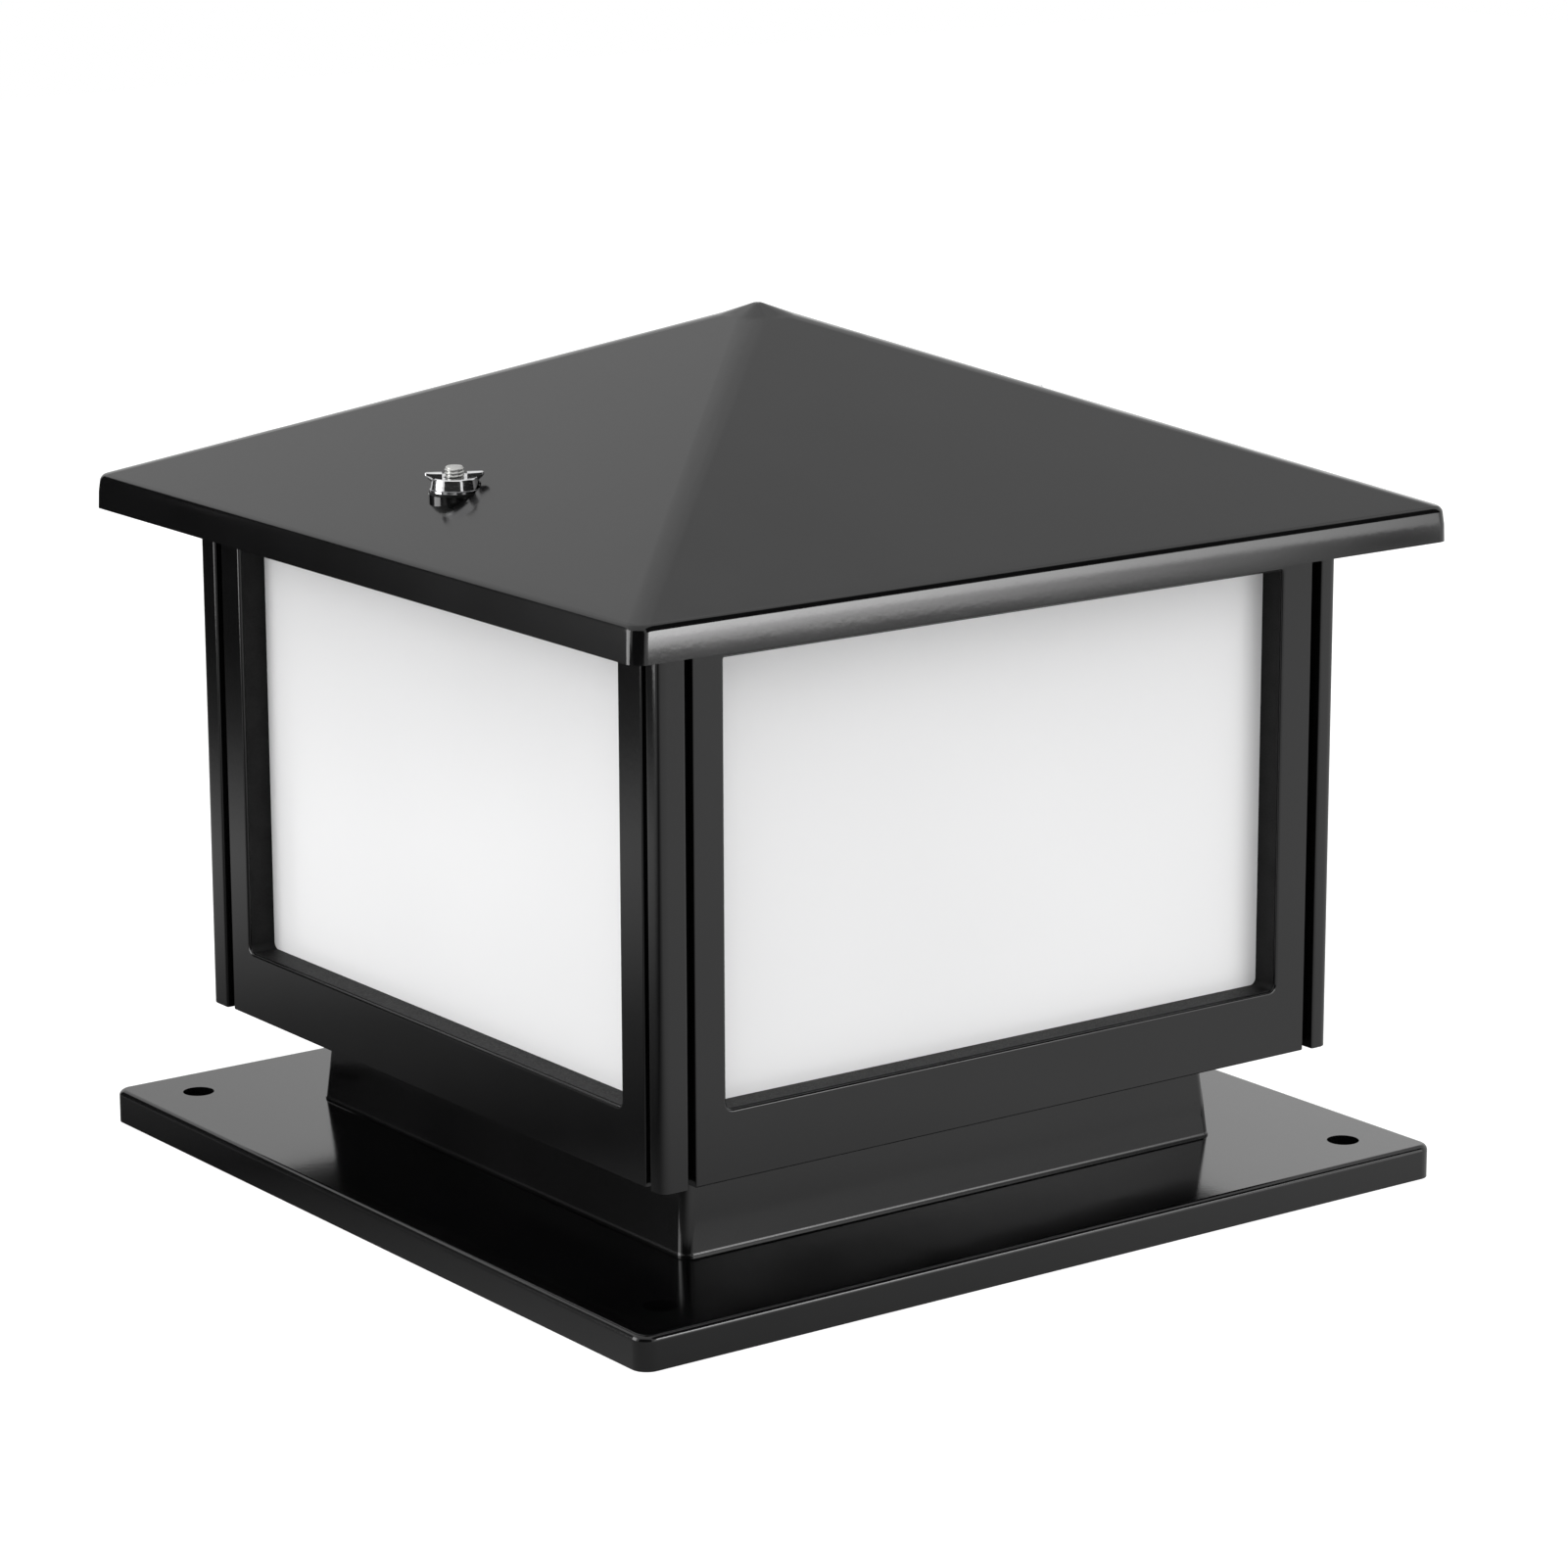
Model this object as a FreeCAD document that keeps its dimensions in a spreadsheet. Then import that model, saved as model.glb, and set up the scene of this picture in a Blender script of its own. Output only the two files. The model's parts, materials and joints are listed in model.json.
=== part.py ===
import FreeCAD, Part
import math
import os
import re
import Sketcher

# Square pillar light: base plate, flared neck, lamp box with four opal panels, and a lift-off pyramid roof
# that two wing nuts hold. Millimetres, +Z up, origin at the middle of the underside, front face towards -Y.

Vector = FreeCAD.Vector
doc = FreeCAD.newDocument("PillarLight")

drivingSizes = {
    # base plate
    "base_half": 150,
    "base_height": 10.5,
    "base_corner": 5,
    "base_edge": 2,
    "base_wall": 4,
    "base_deck": 3.5,
    "bolt_reach": 130,
    "bolt_radius": 5,
    "bolt_boss": 10,
    "way_margin": 1.5,
    "way_collar": 3,
    # neck
    "neck_height": 30.5,
    "neck_inset": 27.7,
    "neck_flare": 2.7,
    "neck_corner": 3.6,
    "neck_wall": 3.5,
    "neck_flange": 5,
    "neck_ledge": 20.3,
    "neck_screw_inset": 8,
    # lamp box
    "body_height": 162,
    "post_half": 126,
    "post_width": 8.5,
    "post_corner": 4,
    "post_leg": 15.5,
    "post_web": 3,
    "groove_width": 2.5,
    "panel_setback": 1.5,
    "panel_depth": 8.3,
    "window_stile": 11,
    "window_sill": 21,
    "window_head": 9,
    "window_corner": 4.3,
    "lens_lap": 2.5,
    "lens_play": 0.5,
    "lens_thick": 3,
    "rim_width": 3.5,
    "frame_screw_reach": 60,
    # floor tray
    "tray_thick": 3,
    "lip_height": 9.5,
    "lip_thick": 2,
    "lip_end": 10,
    # panel clips
    "clip_reach": 74,
    "clip_width": 10,
    "clip_thick": 1,
    "clip_inset": 0.3,
    "clip_lap": 1.8,
    # top ring and gasket
    "ring_thick": 3,
    "ring_width": 22,
    "gasket_thick": 2,
    "gasket_lap": 0.5,
    "gasket_width": 4,
    # roof
    "eaves_drop": 1.5,
    "fascia_height": 10.4,
    "fascia_waist": 5.2,
    "waist_lean": 0.15,
    "fascia_lean": 0.7,
    "roof_overhang": 24,
    "roof_rise": 58.3,
    "roof_corner": 4.5,
    "roof_edge": 2.5,
    "roof_wall": 3,
    "shoulder_half": 10,
    "shoulder_corner": 6.5,
    "peak_half": 1.2,
    "peak_corner": 1,
    "skirt_inset": 17,
    "skirt_wall": 3,
    # studs and wing nuts
    "stud_inset": 10,
    "stud_side": 8,
    "stud_radius": 3,
    "stud_proud": 3.2,
    "stud_bevel": 0.6,
    "lock_nut_flat": 5,
    "lock_nut_height": 4.8,
    "seat_radius": 7.8,
    "seat_drop": 0.2,
    "seat_depth": 8,
    "seat_hole_play": 0.6,
    "seal_radius": 7.5,
    "seal_thick": 0.8,
    "washer_radius": 7.3,
    "washer_thick": 0.6,
    "hub_radius": 7.2,
    "hub_top_radius": 6.6,
    "hub_height": 3.6,
    "wing_reach": 8.8,
    "wing_height": 5.1,
    "wing_thick": 2.2,
    "wing_root": 3.8,
    "wing_shelf": 4.4,
    "wing_foot": 5.4,
    "wing_tip": 1.5,
    "left_nut_turn": -28,
    "right_nut_turn": 40,
    # screws: shank radius, head radius and head height
    "small_shank": 1.2,
    "small_head": 2.5,
    "small_crown": 1.6,
    "middle_shank": 2,
    "middle_head": 3.8,
    "middle_crown": 2.6,
    "large_shank": 2.5,
    "large_head": 4.5,
    "large_crown": 3,
    "small_length": 7,
    "post_screw_length": 11,
    "frame_screw_length": 8,
    "ring_screw_grip": 7,
    "thread_play": 0.05,
    "hole_play": 0.3,
    "crown_bevel": 0.7,
    # lampholder on its bracket
    "bridge_half": 20,
    "bridge_height": 16,
    "bridge_foot": 38,
    "bridge_sheet": 2,
    "bridge_width": 30,
    "foot_screw_reach": 29,
    "holder_radius": 22,
    "holder_mouth_radius": 19,
    "holder_height": 46,
    "holder_floor": 14,
    "shell_radius": 14.6,
    "shell_wall": 0.6,
    "shell_height": 29,
    "contact_radius": 6,
    "contact_thick": 1,
    "holder_screw_reach": 10,
    "holder_screw_length": 9,
    # lamp
    "tip_radius": 4.7,
    "tip_height": 2.5,
    "tip_gap": 0.3,
    "cap_radius": 13.2,
    "cap_height": 25,
    "housing_radius": 29,
    "housing_height": 32,
    "housing_neck": 6,
    "housing_wall": 2,
    "globe_radius": 30,
    "globe_height": 46,
    "globe_wall": 1.2,
    "globe_round": 28,
    "board_radius": 25,
    "board_thick": 1.6,
    # terminal block, leads and earth
    "block_reach": 72,
    "block_long": 16,
    "block_half": 15,
    "block_height": 14,
    "pole_step": 9,
    "pole_rise": 7,
    "sleeve_radius": 2.4,
    "sleeve_bore": 1.6,
    "sleeve_proud": 1,
    "lead_radius": 1.1,
    "lead_bend": 7,
    "lead_side": 6,
    "lead_rise": 8,
    "earth_reach": 40,
    "earth_side": 34,
    "earth_run": 8.5,
    "earth_tag_radius": 4.2,
    "earth_tag_thick": 1,
    # cable gland
    "gland_play": 0.65,
    "gland_thread": 8,
    "gland_flat": 12,
    "gland_collar": 4,
    "gland_stem": 11,
    "gland_inner": 6.5,
    "gland_nut_height": 13,
    "gland_nut_cap": 3,
    "gland_nut_flat": 11.5,
    "lock_ring_flat": 12,
    "lock_ring_height": 4,
    "cable_radius": 4,
    "seal_sleeve": 9,
    # how far a cutting shape runs past what it cuts
    "cut_over": 2,
}

sheet = doc.addObject("Spreadsheet::Sheet", "Sizes")
for row, (alias, amount) in enumerate(drivingSizes.items(), start=1):
    sheet.set(f"A{row}", alias)
    sheet.set(f"B{row}", str(amount))
    sheet.setAlias(f"B{row}", alias)
doc.recompute()


def size(alias):
    return float(sheet.get(alias))


def bind(item, target, formula):
    """Tie a property to the sheet: each word with an underscore in the formula is a cell."""
    item.setExpression(target, re.sub(r"[a-z]+(?:_[a-z]+)+", r"Sizes.\g<0>", formula))


# Heights and reaches that follow from the driving sizes
bodyLift = "(base_height + neck_height)"
bodyTop = f"({bodyLift} + body_height)"
neckTopHalf = "(post_half - neck_inset)"
neckFootHalf = f"({neckTopHalf} + neck_flare)"
neckMouthHalf = f"({neckTopHalf} - neck_ledge)"
neckScrewReach = f"({neckMouthHalf} + neck_screw_inset)"
postInner = "(post_half - post_leg)"
panelFace = "(post_half - panel_setback)"
panelEnd = "(post_half - post_width - groove_width)"
trayTop = f"({bodyLift} + tray_thick)"
trayHalf = f"({panelFace} - panel_depth)"
lipHalf = f"({panelEnd} - lip_end)"
windowHalf = f"({panelEnd} - window_stile)"
windowLow = f"({bodyLift} + window_sill)"
windowHigh = f"({bodyTop} - window_head)"
lensHalf = f"({windowHalf} + lens_lap)"
lensBack = f"({trayHalf} - lens_thick)"
rimInner = f"({lensHalf} + lens_play)"
rimOuter = f"({rimInner} + rim_width)"
ringTop = f"({bodyTop} + ring_thick)"
ringMouthHalf = "(post_half - ring_width)"
gasketTop = f"({ringTop} + gasket_thick)"
skirtHalf = "(post_half - skirt_inset)"
gasketHalf = f"({skirtHalf} + gasket_lap)"
panelMiddle = f"({panelFace} - panel_depth / 2)"
postMiddle = "(post_half - post_width / 2)"
postScrewReach = f"({postInner} + small_head)"
rimLow = f"({windowLow} - lens_lap - lens_play - rim_width)"
rimHigh = f"({windowHigh} + lens_lap + lens_play + rim_width)"
clipLow = f"({rimLow} + rim_width / 2)"
clipHigh = f"({rimHigh} - rim_width / 2)"
lipMiddle = f"({trayTop} + lip_height / 2)"
roofHalf = "(post_half + roof_overhang)"
eavesLift = f"({bodyTop} - eaves_drop)"
fasciaTop = f"({eavesLift} + fascia_height)"
slopeHalf = f"({roofHalf} - fascia_lean)"
roofSlope = f"(roof_rise / ({slopeHalf} - peak_half))"
wallDrop = f"(roof_wall * sqrt(1 + {roofSlope} * {roofSlope}))"
studReach = "(post_half - stud_inset)"
seatLift = f"({fasciaTop} + ({slopeHalf} - {studReach}) * {roofSlope} - seat_drop)"
sealTop = f"({seatLift} + seal_thick)"
washerTop = f"({sealTop} + washer_thick)"
studTop = f"({washerTop} + hub_height + stud_proud)"
bridgeTop = f"({trayTop} + bridge_height)"
shellFloor = f"({bridgeTop} + holder_floor)"
contactTop = f"({shellFloor} + contact_thick)"
tipFoot = f"({contactTop} + tip_gap)"
capFoot = f"({tipFoot} + tip_height)"
capTop = f"({capFoot} + cap_height)"
housingTop = f"({capTop} + housing_height)"
poleLift = f"({trayTop} + pole_rise)"
glandSide = "(bridge_width / 2 + lock_ring_flat * 2 / sqrt(3) + gland_play)"
wayHalf = f"({glandSide} + cable_radius + way_margin)"
centre = ("0", "0", "0")
nodes = []


def planeOf(body, role):
    return [item for item in body.Origin.OriginFeatures if item.Role == role][0]


def sketchOn(body, name, role="XY_Plane", place=centre):
    """Sketch on one of the body's own planes, with its zero at place, given in X, Y and Z."""
    across, away, up = place
    shifts = {
        "XY_Plane": (across, away, up),
        "XZ_Plane": (across, up, f"0 - ({away})"),
        "YZ_Plane": (away, up, across),
    }[role]
    sketch = body.newObject("Sketcher::SketchObject", name)
    sketch.AttachmentSupport = [(planeOf(body, role), "")]
    sketch.MapMode = "FlatFace"
    for letter, shift in zip("xyz", shifts):
        bind(sketch, f"AttachmentOffset.Base.{letter}", shift)
    return sketch


def pin(sketch, kind, item, end, formula):
    """Hold one coordinate of a point at a formula's value, starting from where the point is."""
    spot = sketch.getPoint(item, end)
    start = spot.x if kind == "DistanceX" else spot.y
    index = sketch.addConstraint(Sketcher.Constraint(kind, -1, 1, item, end, start))
    bind(sketch, f"Constraints[{index}]", formula)


def drawPolygon(sketch, corners):
    """Closed outline through corners, each a pair of formulas."""
    first = sketch.GeometryCount
    count = len(corners)
    turns = [2 * math.pi * index / count for index in range(count + 1)]
    spots = [Vector(math.cos(turn), math.sin(turn), 0) for turn in turns]
    for index in range(count):
        sketch.addGeometry(Part.LineSegment(spots[index], spots[index + 1]), False)
    for index, (across, up) in enumerate(corners):
        follower = first + (index + 1) % count
        sketch.addConstraint(Sketcher.Constraint("Coincident", first + index, 2, follower, 1))
        pin(sketch, "DistanceX", first + index, 1, across)
        pin(sketch, "DistanceY", first + index, 1, up)
    return sketch


def drawBox(sketch, west, east, south, north):
    return drawPolygon(sketch, [(west, south), (east, south), (east, north), (west, north)])


def drawRounded(sketch, west, east, south, north, corner):
    """Rectangle whose corners are quarter circles."""
    arcs = []
    for index, (across, up) in enumerate([(east, north), (west, north), (west, south), (east, south)]):
        turn = index * math.pi / 2
        toCorner = turn + math.pi / 4
        middle = Vector(math.cos(toCorner), math.sin(toCorner), 0) * math.sqrt(2)
        bow = Part.ArcOfCircle(Part.Circle(middle, Vector(0, 0, 1), 1), turn, turn + math.pi / 2)
        arcs.append(sketch.addGeometry(bow, False))
        inX = f"{across} - {corner}" if across == east else f"{across} + {corner}"
        inY = f"{up} - {corner}" if up == north else f"{up} + {corner}"
        ends = [(across, inY), (inX, up)] if index % 2 == 0 else [(inX, up), (across, inY)]
        pin(sketch, "DistanceX", arcs[-1], 3, inX)
        for end, (endX, endY) in enumerate(ends, start=1):
            pin(sketch, "DistanceX", arcs[-1], end, endX)
            pin(sketch, "DistanceY", arcs[-1], end, endY)
    for index in range(4):
        start = sketch.Geometry[arcs[index]].EndPoint
        stop = sketch.Geometry[arcs[(index + 1) % 4]].StartPoint
        side = sketch.addGeometry(Part.LineSegment(start, stop), False)
        sketch.addConstraint(Sketcher.Constraint("Coincident", arcs[index], 2, side, 1))
        sketch.addConstraint(Sketcher.Constraint("Coincident", side, 2, arcs[(index + 1) % 4], 1))
    return sketch


def drawSquare(sketch, half, corner=None):
    low = f"0 - ({half})"
    if corner:
        return drawRounded(sketch, low, half, low, half, corner)
    return drawBox(sketch, low, half, low, half)


def drawCircles(sketch, radius, spots):
    for across, up in spots:
        item = sketch.addGeometry(Part.Circle(Vector(0, 0, 0), Vector(0, 0, 1), 1), False)
        index = sketch.addConstraint(Sketcher.Constraint("Radius", item, 1.0))
        bind(sketch, f"Constraints[{index}]", radius)
        pin(sketch, "DistanceX", item, 3, across)
        pin(sketch, "DistanceY", item, 3, up)
    return sketch


def drawHexagon(sketch, flat):
    """Hexagon with flats at the given distance from its centre, two of them square to X."""
    point = f"({flat} * 2 / sqrt(3))"
    return drawPolygon(sketch, [
        ("0", point), (f"0 - {flat}", f"{point} / 2"), (f"0 - {flat}", f"0 - {point} / 2"),
        ("0", f"0 - {point}"), (flat, f"0 - {point} / 2"), (flat, f"{point} / 2"),
    ])


def newBody(node):
    body = doc.addObject("PartDesign::Body", node)
    body.Label = node
    nodes.append(body)
    return body


def raised(body, sketch, length):
    """Material from the sketch along its normal."""
    feature = body.newObject("PartDesign::Pad", sketch.Name + "Pad")
    feature.Profile = sketch
    bind(feature, "Length", length)
    return feature


def cutOut(body, sketch, length):
    """Pocket from the sketch along its normal."""
    feature = body.newObject("PartDesign::Pocket", sketch.Name + "Pocket")
    feature.Profile = sketch
    feature.Reversed = True
    bind(feature, "Length", length)
    return feature


def lofted(body, kind, lower, *uppers):
    feature = body.newObject(kind, lower.Name + "Loft")
    feature.Profile = lower
    feature.Sections = list(uppers)
    feature.Ruled = True
    return feature


def rounded(body, feature, radius, chosen):
    """Fillet on every edge of the feature that chosen accepts."""
    doc.recompute()
    names = [f"Edge{index}" for index, edge in enumerate(feature.Shape.Edges, start=1) if chosen(edge)]
    fillet = body.newObject("PartDesign::Fillet", feature.Name + "Round")
    fillet.Base = (feature, names)
    bind(fillet, "Radius", radius)
    return fillet


def turned(body, name, profile, place=centre, role="XZ_Plane"):
    """Solid of revolution from (radius, distance along the axis) pairs.

    The axis runs through place, upright on XZ_Plane and along Y on XY_Plane."""
    sketch = drawPolygon(sketchOn(body, name, role, place), profile)
    feature = body.newObject("PartDesign::Revolution", name + "Turn")
    feature.Profile = sketch
    feature.ReferenceAxis = (sketch, ["V_Axis"])
    feature.Angle = 360
    return feature


def screwProfile(family, length, way=""):
    """Pan head above zero and shank below it, or the other way up where way is a minus sign."""
    marks = [
        ("0", f"0 - ({length})"), (f"{family}_shank", f"0 - ({length})"), (f"{family}_shank", "0"),
        (f"{family}_head", "0"), (f"{family}_head", f"{family}_crown - crown_bevel"),
        (f"{family}_head - crown_bevel", f"{family}_crown"), ("0", f"{family}_crown"),
    ]
    return [(radius, f"0 - ({along})" if way else along) for radius, along in marks]


def aroundFour(body, features):
    """Four copies a quarter turn apart about the light's axis."""
    doc.recompute()
    pattern = body.newObject("PartDesign::PolarPattern", features[0].Name + "Four")
    pattern.Originals = features
    pattern.Axis = (planeOf(body, "Z_Axis"), [""])
    pattern.Angle = 360
    pattern.Occurrences = 4
    body.Tip = pattern
    return pattern


def quarterTurned(body, quarters):
    body.Placement = FreeCAD.Placement(Vector(0, 0, 0), FreeCAD.Rotation(Vector(0, 0, 1), 90 * quarters))


def fourCorners(reach):
    minus = f"0 - {reach}"
    return [(reach, reach), (minus, reach), (minus, minus), (reach, minus)]


def mirroredPair(across, up):
    return [(across, up), (f"0 - {across}", up)]


# Studs stand a little off the middle of two opposite roof slopes, half a turn apart
studSpots = {
    "left": (f"0 - {studReach}", "0 - stud_side"),
    "right": (studReach, "stud_side"),
}


# Base and neck

def basePlate():
    """Shallow cast tray, open below, with a boss round each bolt hole and a square way for the cable."""
    body = newBody("base_plate")
    slab = raised(body, drawSquare(sketchOn(body, "BaseOutline"), "base_half", "base_corner"), "base_height")
    top = size("base_height") - size("thread_play")
    rounded(body, slab, "base_edge", lambda edge: edge.BoundBox.ZMin > top)
    under = "(base_height - base_deck)"
    cutOut(body, drawSquare(sketchOn(body, "BaseHollow"), "base_half - base_wall"), under)
    raised(body, drawCircles(sketchOn(body, "BaseBosses"), "bolt_boss", fourCorners("bolt_reach")), under)
    raised(body, drawSquare(sketchOn(body, "WayCollar"), f"({wayHalf} + way_collar)"), under)
    cutOut(body, drawSquare(sketchOn(body, "CableWay"), wayHalf), "base_height + cut_over")
    holes = drawCircles(sketchOn(body, "BoltHoles"), "bolt_radius", fourCorners("bolt_reach"))
    cutOut(body, holes, "base_height + cut_over")
    holes = drawCircles(sketchOn(body, "NeckHoles"), "large_shank + hole_play", fourCorners(neckScrewReach))
    cutOut(body, holes, "base_height + cut_over")


def baseScrews():
    """Pan heads below the deck, shanks up into the neck's lower flange."""
    body = newBody("base_screws")
    place = (neckScrewReach, neckScrewReach, "base_height - base_deck")
    length = "base_deck + neck_flange - thread_play"
    aroundFour(body, [turned(body, "BaseScrew", screwProfile("large", length, "-"), place)])


def neck():
    """Square tube, wider at its foot, with a flange inside at each end."""
    body = newBody("neck")
    foot = sketchOn(body, "NeckFoot", place=("0", "0", "base_height"))
    head = sketchOn(body, "NeckHead", place=("0", "0", bodyLift))
    drawSquare(foot, neckFootHalf, "neck_corner")
    drawSquare(head, neckTopHalf, "neck_corner")
    lofted(body, "PartDesign::AdditiveLoft", foot, head)
    low = sketchOn(body, "NeckHollowLow", place=("0", "0", "base_height + neck_flange"))
    high = sketchOn(body, "NeckHollowHigh", place=("0", "0", f"{bodyLift} - neck_flange"))
    drawSquare(low, f"({neckFootHalf} - neck_wall)")
    drawSquare(high, f"({neckTopHalf} - neck_wall)")
    lofted(body, "PartDesign::SubtractiveLoft", low, high)
    through = f"{bodyLift} - base_height + cut_over"
    floor = ("0", "0", "base_height")
    cutOut(body, drawSquare(sketchOn(body, "NeckMouth", place=floor), neckMouthHalf), through)
    bores = sketchOn(body, "NeckBores", place=floor)
    cutOut(body, drawCircles(bores, "large_shank + thread_play", fourCorners(neckScrewReach)), through)


# Lamp box

def floorTray():
    """Square floor with an upright lip along each side, and holes for the screws and the gland."""
    body = newBody("floor_tray")
    floor = ("0", "0", bodyLift)
    raised(body, drawSquare(sketchOn(body, "TrayFloor", place=floor), trayHalf), "tray_thick")
    lip = sketchOn(body, "TrayLip", place=("0", "0", trayTop))
    drawBox(lip, f"0 - {lipHalf}", lipHalf, f"0 - {trayHalf}", f"lip_thick - {trayHalf}")
    lipPad = raised(body, lip, "lip_height")
    lipHoles = sketchOn(body, "LipHoles", "XZ_Plane", ("0", f"lip_thick + cut_over - {trayHalf}", "0"))
    drawCircles(lipHoles, "middle_shank + hole_play", mirroredPair("frame_screw_reach", lipMiddle))
    lipPocket = cutOut(body, lipHoles, "lip_thick + cut_over * 2")
    aroundFour(body, [lipPad, lipPocket])
    through = "tray_thick + cut_over"
    holes = drawCircles(sketchOn(body, "TrayHoles", place=floor), "large_shank + hole_play",
                        fourCorners(neckScrewReach))
    cutOut(body, holes, through)
    holes = drawCircles(sketchOn(body, "PostHoles", place=floor), "small_shank + hole_play",
                        fourCorners(postScrewReach))
    cutOut(body, holes, through)
    sinks = drawCircles(sketchOn(body, "PostSinks", place=floor), "small_head + hole_play",
                        fourCorners(postScrewReach))
    cutOut(body, sinks, "small_crown")
    cutOut(body, drawCircles(sketchOn(body, "GlandHole", place=floor), "gland_thread + hole_play",
                             [("0", glandSide)]), through)
    taps = drawCircles(sketchOn(body, "TrayTaps", place=floor), "middle_shank + thread_play",
                       mirroredPair("foot_screw_reach", "0") + [("0 - block_reach", "0")]
                       + [("0 - earth_reach", "earth_side")])
    cutOut(body, taps, through)


def cornerPost(node, quarters):
    """Stepped corner section: outer bar, web behind the grooves and an inner bar behind the panels' ends."""
    body = newBody(node)
    outer = "(post_half - post_width)"
    floorOfGroove = f"({panelEnd} + post_web)"
    steps = [
        (postInner, postInner), (trayHalf, postInner), (trayHalf, panelEnd), (floorOfGroove, panelEnd),
        (floorOfGroove, outer), ("post_half", outer), ("post_half", "post_half"), (outer, "post_half"),
        (outer, floorOfGroove), (panelEnd, floorOfGroove), (panelEnd, trayHalf), (postInner, trayHalf),
    ]
    section = drawPolygon(sketchOn(body, node + "Section", place=("0", "0", bodyLift)), steps)
    bar = raised(body, section, f"{bodyTop} - {bodyLift}")
    far = size("post_half") - size("thread_play")
    rounded(body, bar, "post_corner", lambda edge: min(edge.BoundBox.XMin, edge.BoundBox.YMin) > far)
    heel = sketchOn(body, node + "Heel", place=("0", "0", bodyLift))
    drawBox(heel, f"{postInner} - cut_over", trayHalf, f"{postInner} - cut_over", trayHalf)
    cutOut(body, heel, "tray_thick")
    lower = sketchOn(body, node + "Lower", place=("0", "0", trayTop))
    cutOut(body, drawCircles(lower, "small_shank + thread_play", [(postScrewReach, postScrewReach)]),
           "post_screw_length")
    upper = sketchOn(body, node + "Upper", place=("0", "0", f"{bodyTop} - ring_screw_grip"))
    cutOut(body, drawCircles(upper, "middle_shank + thread_play", [(postMiddle, postMiddle)]),
           "ring_screw_grip + cut_over")
    quarterTurned(body, quarters)


def windowFrame(node, quarters):
    """Cast frame with a rounded window, a rim behind it that boxes the panel in, and screw bores."""
    body = newBody(node)
    inner = ("0", f"0 - {trayHalf}", "0")
    back = ("0", f"0 - {lensBack}", "0")
    plate = sketchOn(body, node + "Plate", "XZ_Plane", inner)
    drawBox(plate, f"0 - {panelEnd}", panelEnd, bodyLift, bodyTop)
    raised(body, plate, "panel_depth")
    rim = sketchOn(body, node + "Rim", "XZ_Plane", back)
    drawBox(rim, f"0 - {rimOuter}", rimOuter, rimLow, rimHigh)
    drawBox(rim, f"0 - {rimInner}", rimInner, f"{rimLow} + rim_width", f"{rimHigh} - rim_width")
    raised(body, rim, "lens_thick")
    window = sketchOn(body, node + "Window", "XZ_Plane", inner)
    drawRounded(window, f"0 - {windowHalf}", windowHalf, windowLow, windowHigh, "window_corner")
    cutOut(body, window, "panel_depth + cut_over")
    top = sketchOn(body, node + "TopBores", place=("0", "0", f"{bodyTop} - ring_screw_grip"))
    drawCircles(top, "middle_shank + thread_play", mirroredPair("frame_screw_reach", f"0 - {panelMiddle}"))
    cutOut(body, top, "ring_screw_grip + cut_over")
    low = sketchOn(body, node + "LowBores", "XZ_Plane", inner)
    drawCircles(low, "middle_shank + thread_play", mirroredPair("frame_screw_reach", lipMiddle))
    cutOut(body, low, "frame_screw_length - lip_thick")
    side = sketchOn(body, node + "ClipBores", "XZ_Plane", back)
    drawCircles(side, "small_shank + thread_play", clipSpots)
    cutOut(body, side, "small_length")
    quarterTurned(body, quarters)


clipSpots = mirroredPair("clip_reach", clipLow) + mirroredPair("clip_reach", clipHigh)


def opalPanel(node, quarters):
    """Flat opal sheet that laps the window all round."""
    body = newBody(node)
    sketch = sketchOn(body, node + "Sheet", "XZ_Plane", ("0", f"0 - {lensBack}", "0"))
    drawBox(sketch, f"0 - {lensHalf}", lensHalf, f"{windowLow} - lens_lap", f"{windowHigh} + lens_lap")
    raised(body, sketch, "lens_thick")
    quarterTurned(body, quarters)


def panelClips():
    """Small plates that lap the back of each panel, four to a side."""
    body = newBody("panel_clips")
    back = ("0", f"clip_thick - {lensBack}", "0")
    sketch = sketchOn(body, "Clips", "XZ_Plane", back)
    tall = "(rim_width + lens_play + clip_lap)"
    lower = (f"{rimLow} + clip_inset", f"{rimLow} + {tall}")
    upper = (f"{rimHigh} - {tall}", f"{rimHigh} - clip_inset")
    for low, high in (lower, upper):
        for middle in ("clip_reach", "0 - clip_reach"):
            drawBox(sketch, f"{middle} - clip_width / 2", f"{middle} + clip_width / 2", low, high)
    drawCircles(sketch, "small_shank + thread_play", clipSpots)
    aroundFour(body, [raised(body, sketch, "clip_thick")])


def clipScrews():
    body = newBody("clip_screws")
    made = []
    profile = screwProfile("small", "small_length")
    for index, (across, up) in enumerate(clipSpots):
        place = (across, f"clip_thick - {lensBack}", up)
        made.append(turned(body, f"ClipScrew{index}", profile, place, "XY_Plane"))
    aroundFour(body, made)


def frameScrews():
    """Through the tray's lips into the frames' lower rails."""
    body = newBody("frame_screws")
    made = []
    for index, (across, up) in enumerate(mirroredPair("frame_screw_reach", lipMiddle)):
        place = (across, f"lip_thick - {trayHalf}", up)
        profile = screwProfile("middle", "frame_screw_length - thread_play")
        made.append(turned(body, f"FrameScrew{index}", profile, place, "XY_Plane"))
    aroundFour(body, made)


def postScrews():
    """Sunk into the tray's underside, up into the posts' inner bars."""
    body = newBody("post_screws")
    place = (postScrewReach, postScrewReach, f"{bodyLift} + small_crown")
    length = "tray_thick - small_crown + post_screw_length - thread_play"
    aroundFour(body, [turned(body, "PostScrew", screwProfile("small", length, "-"), place)])


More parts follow.
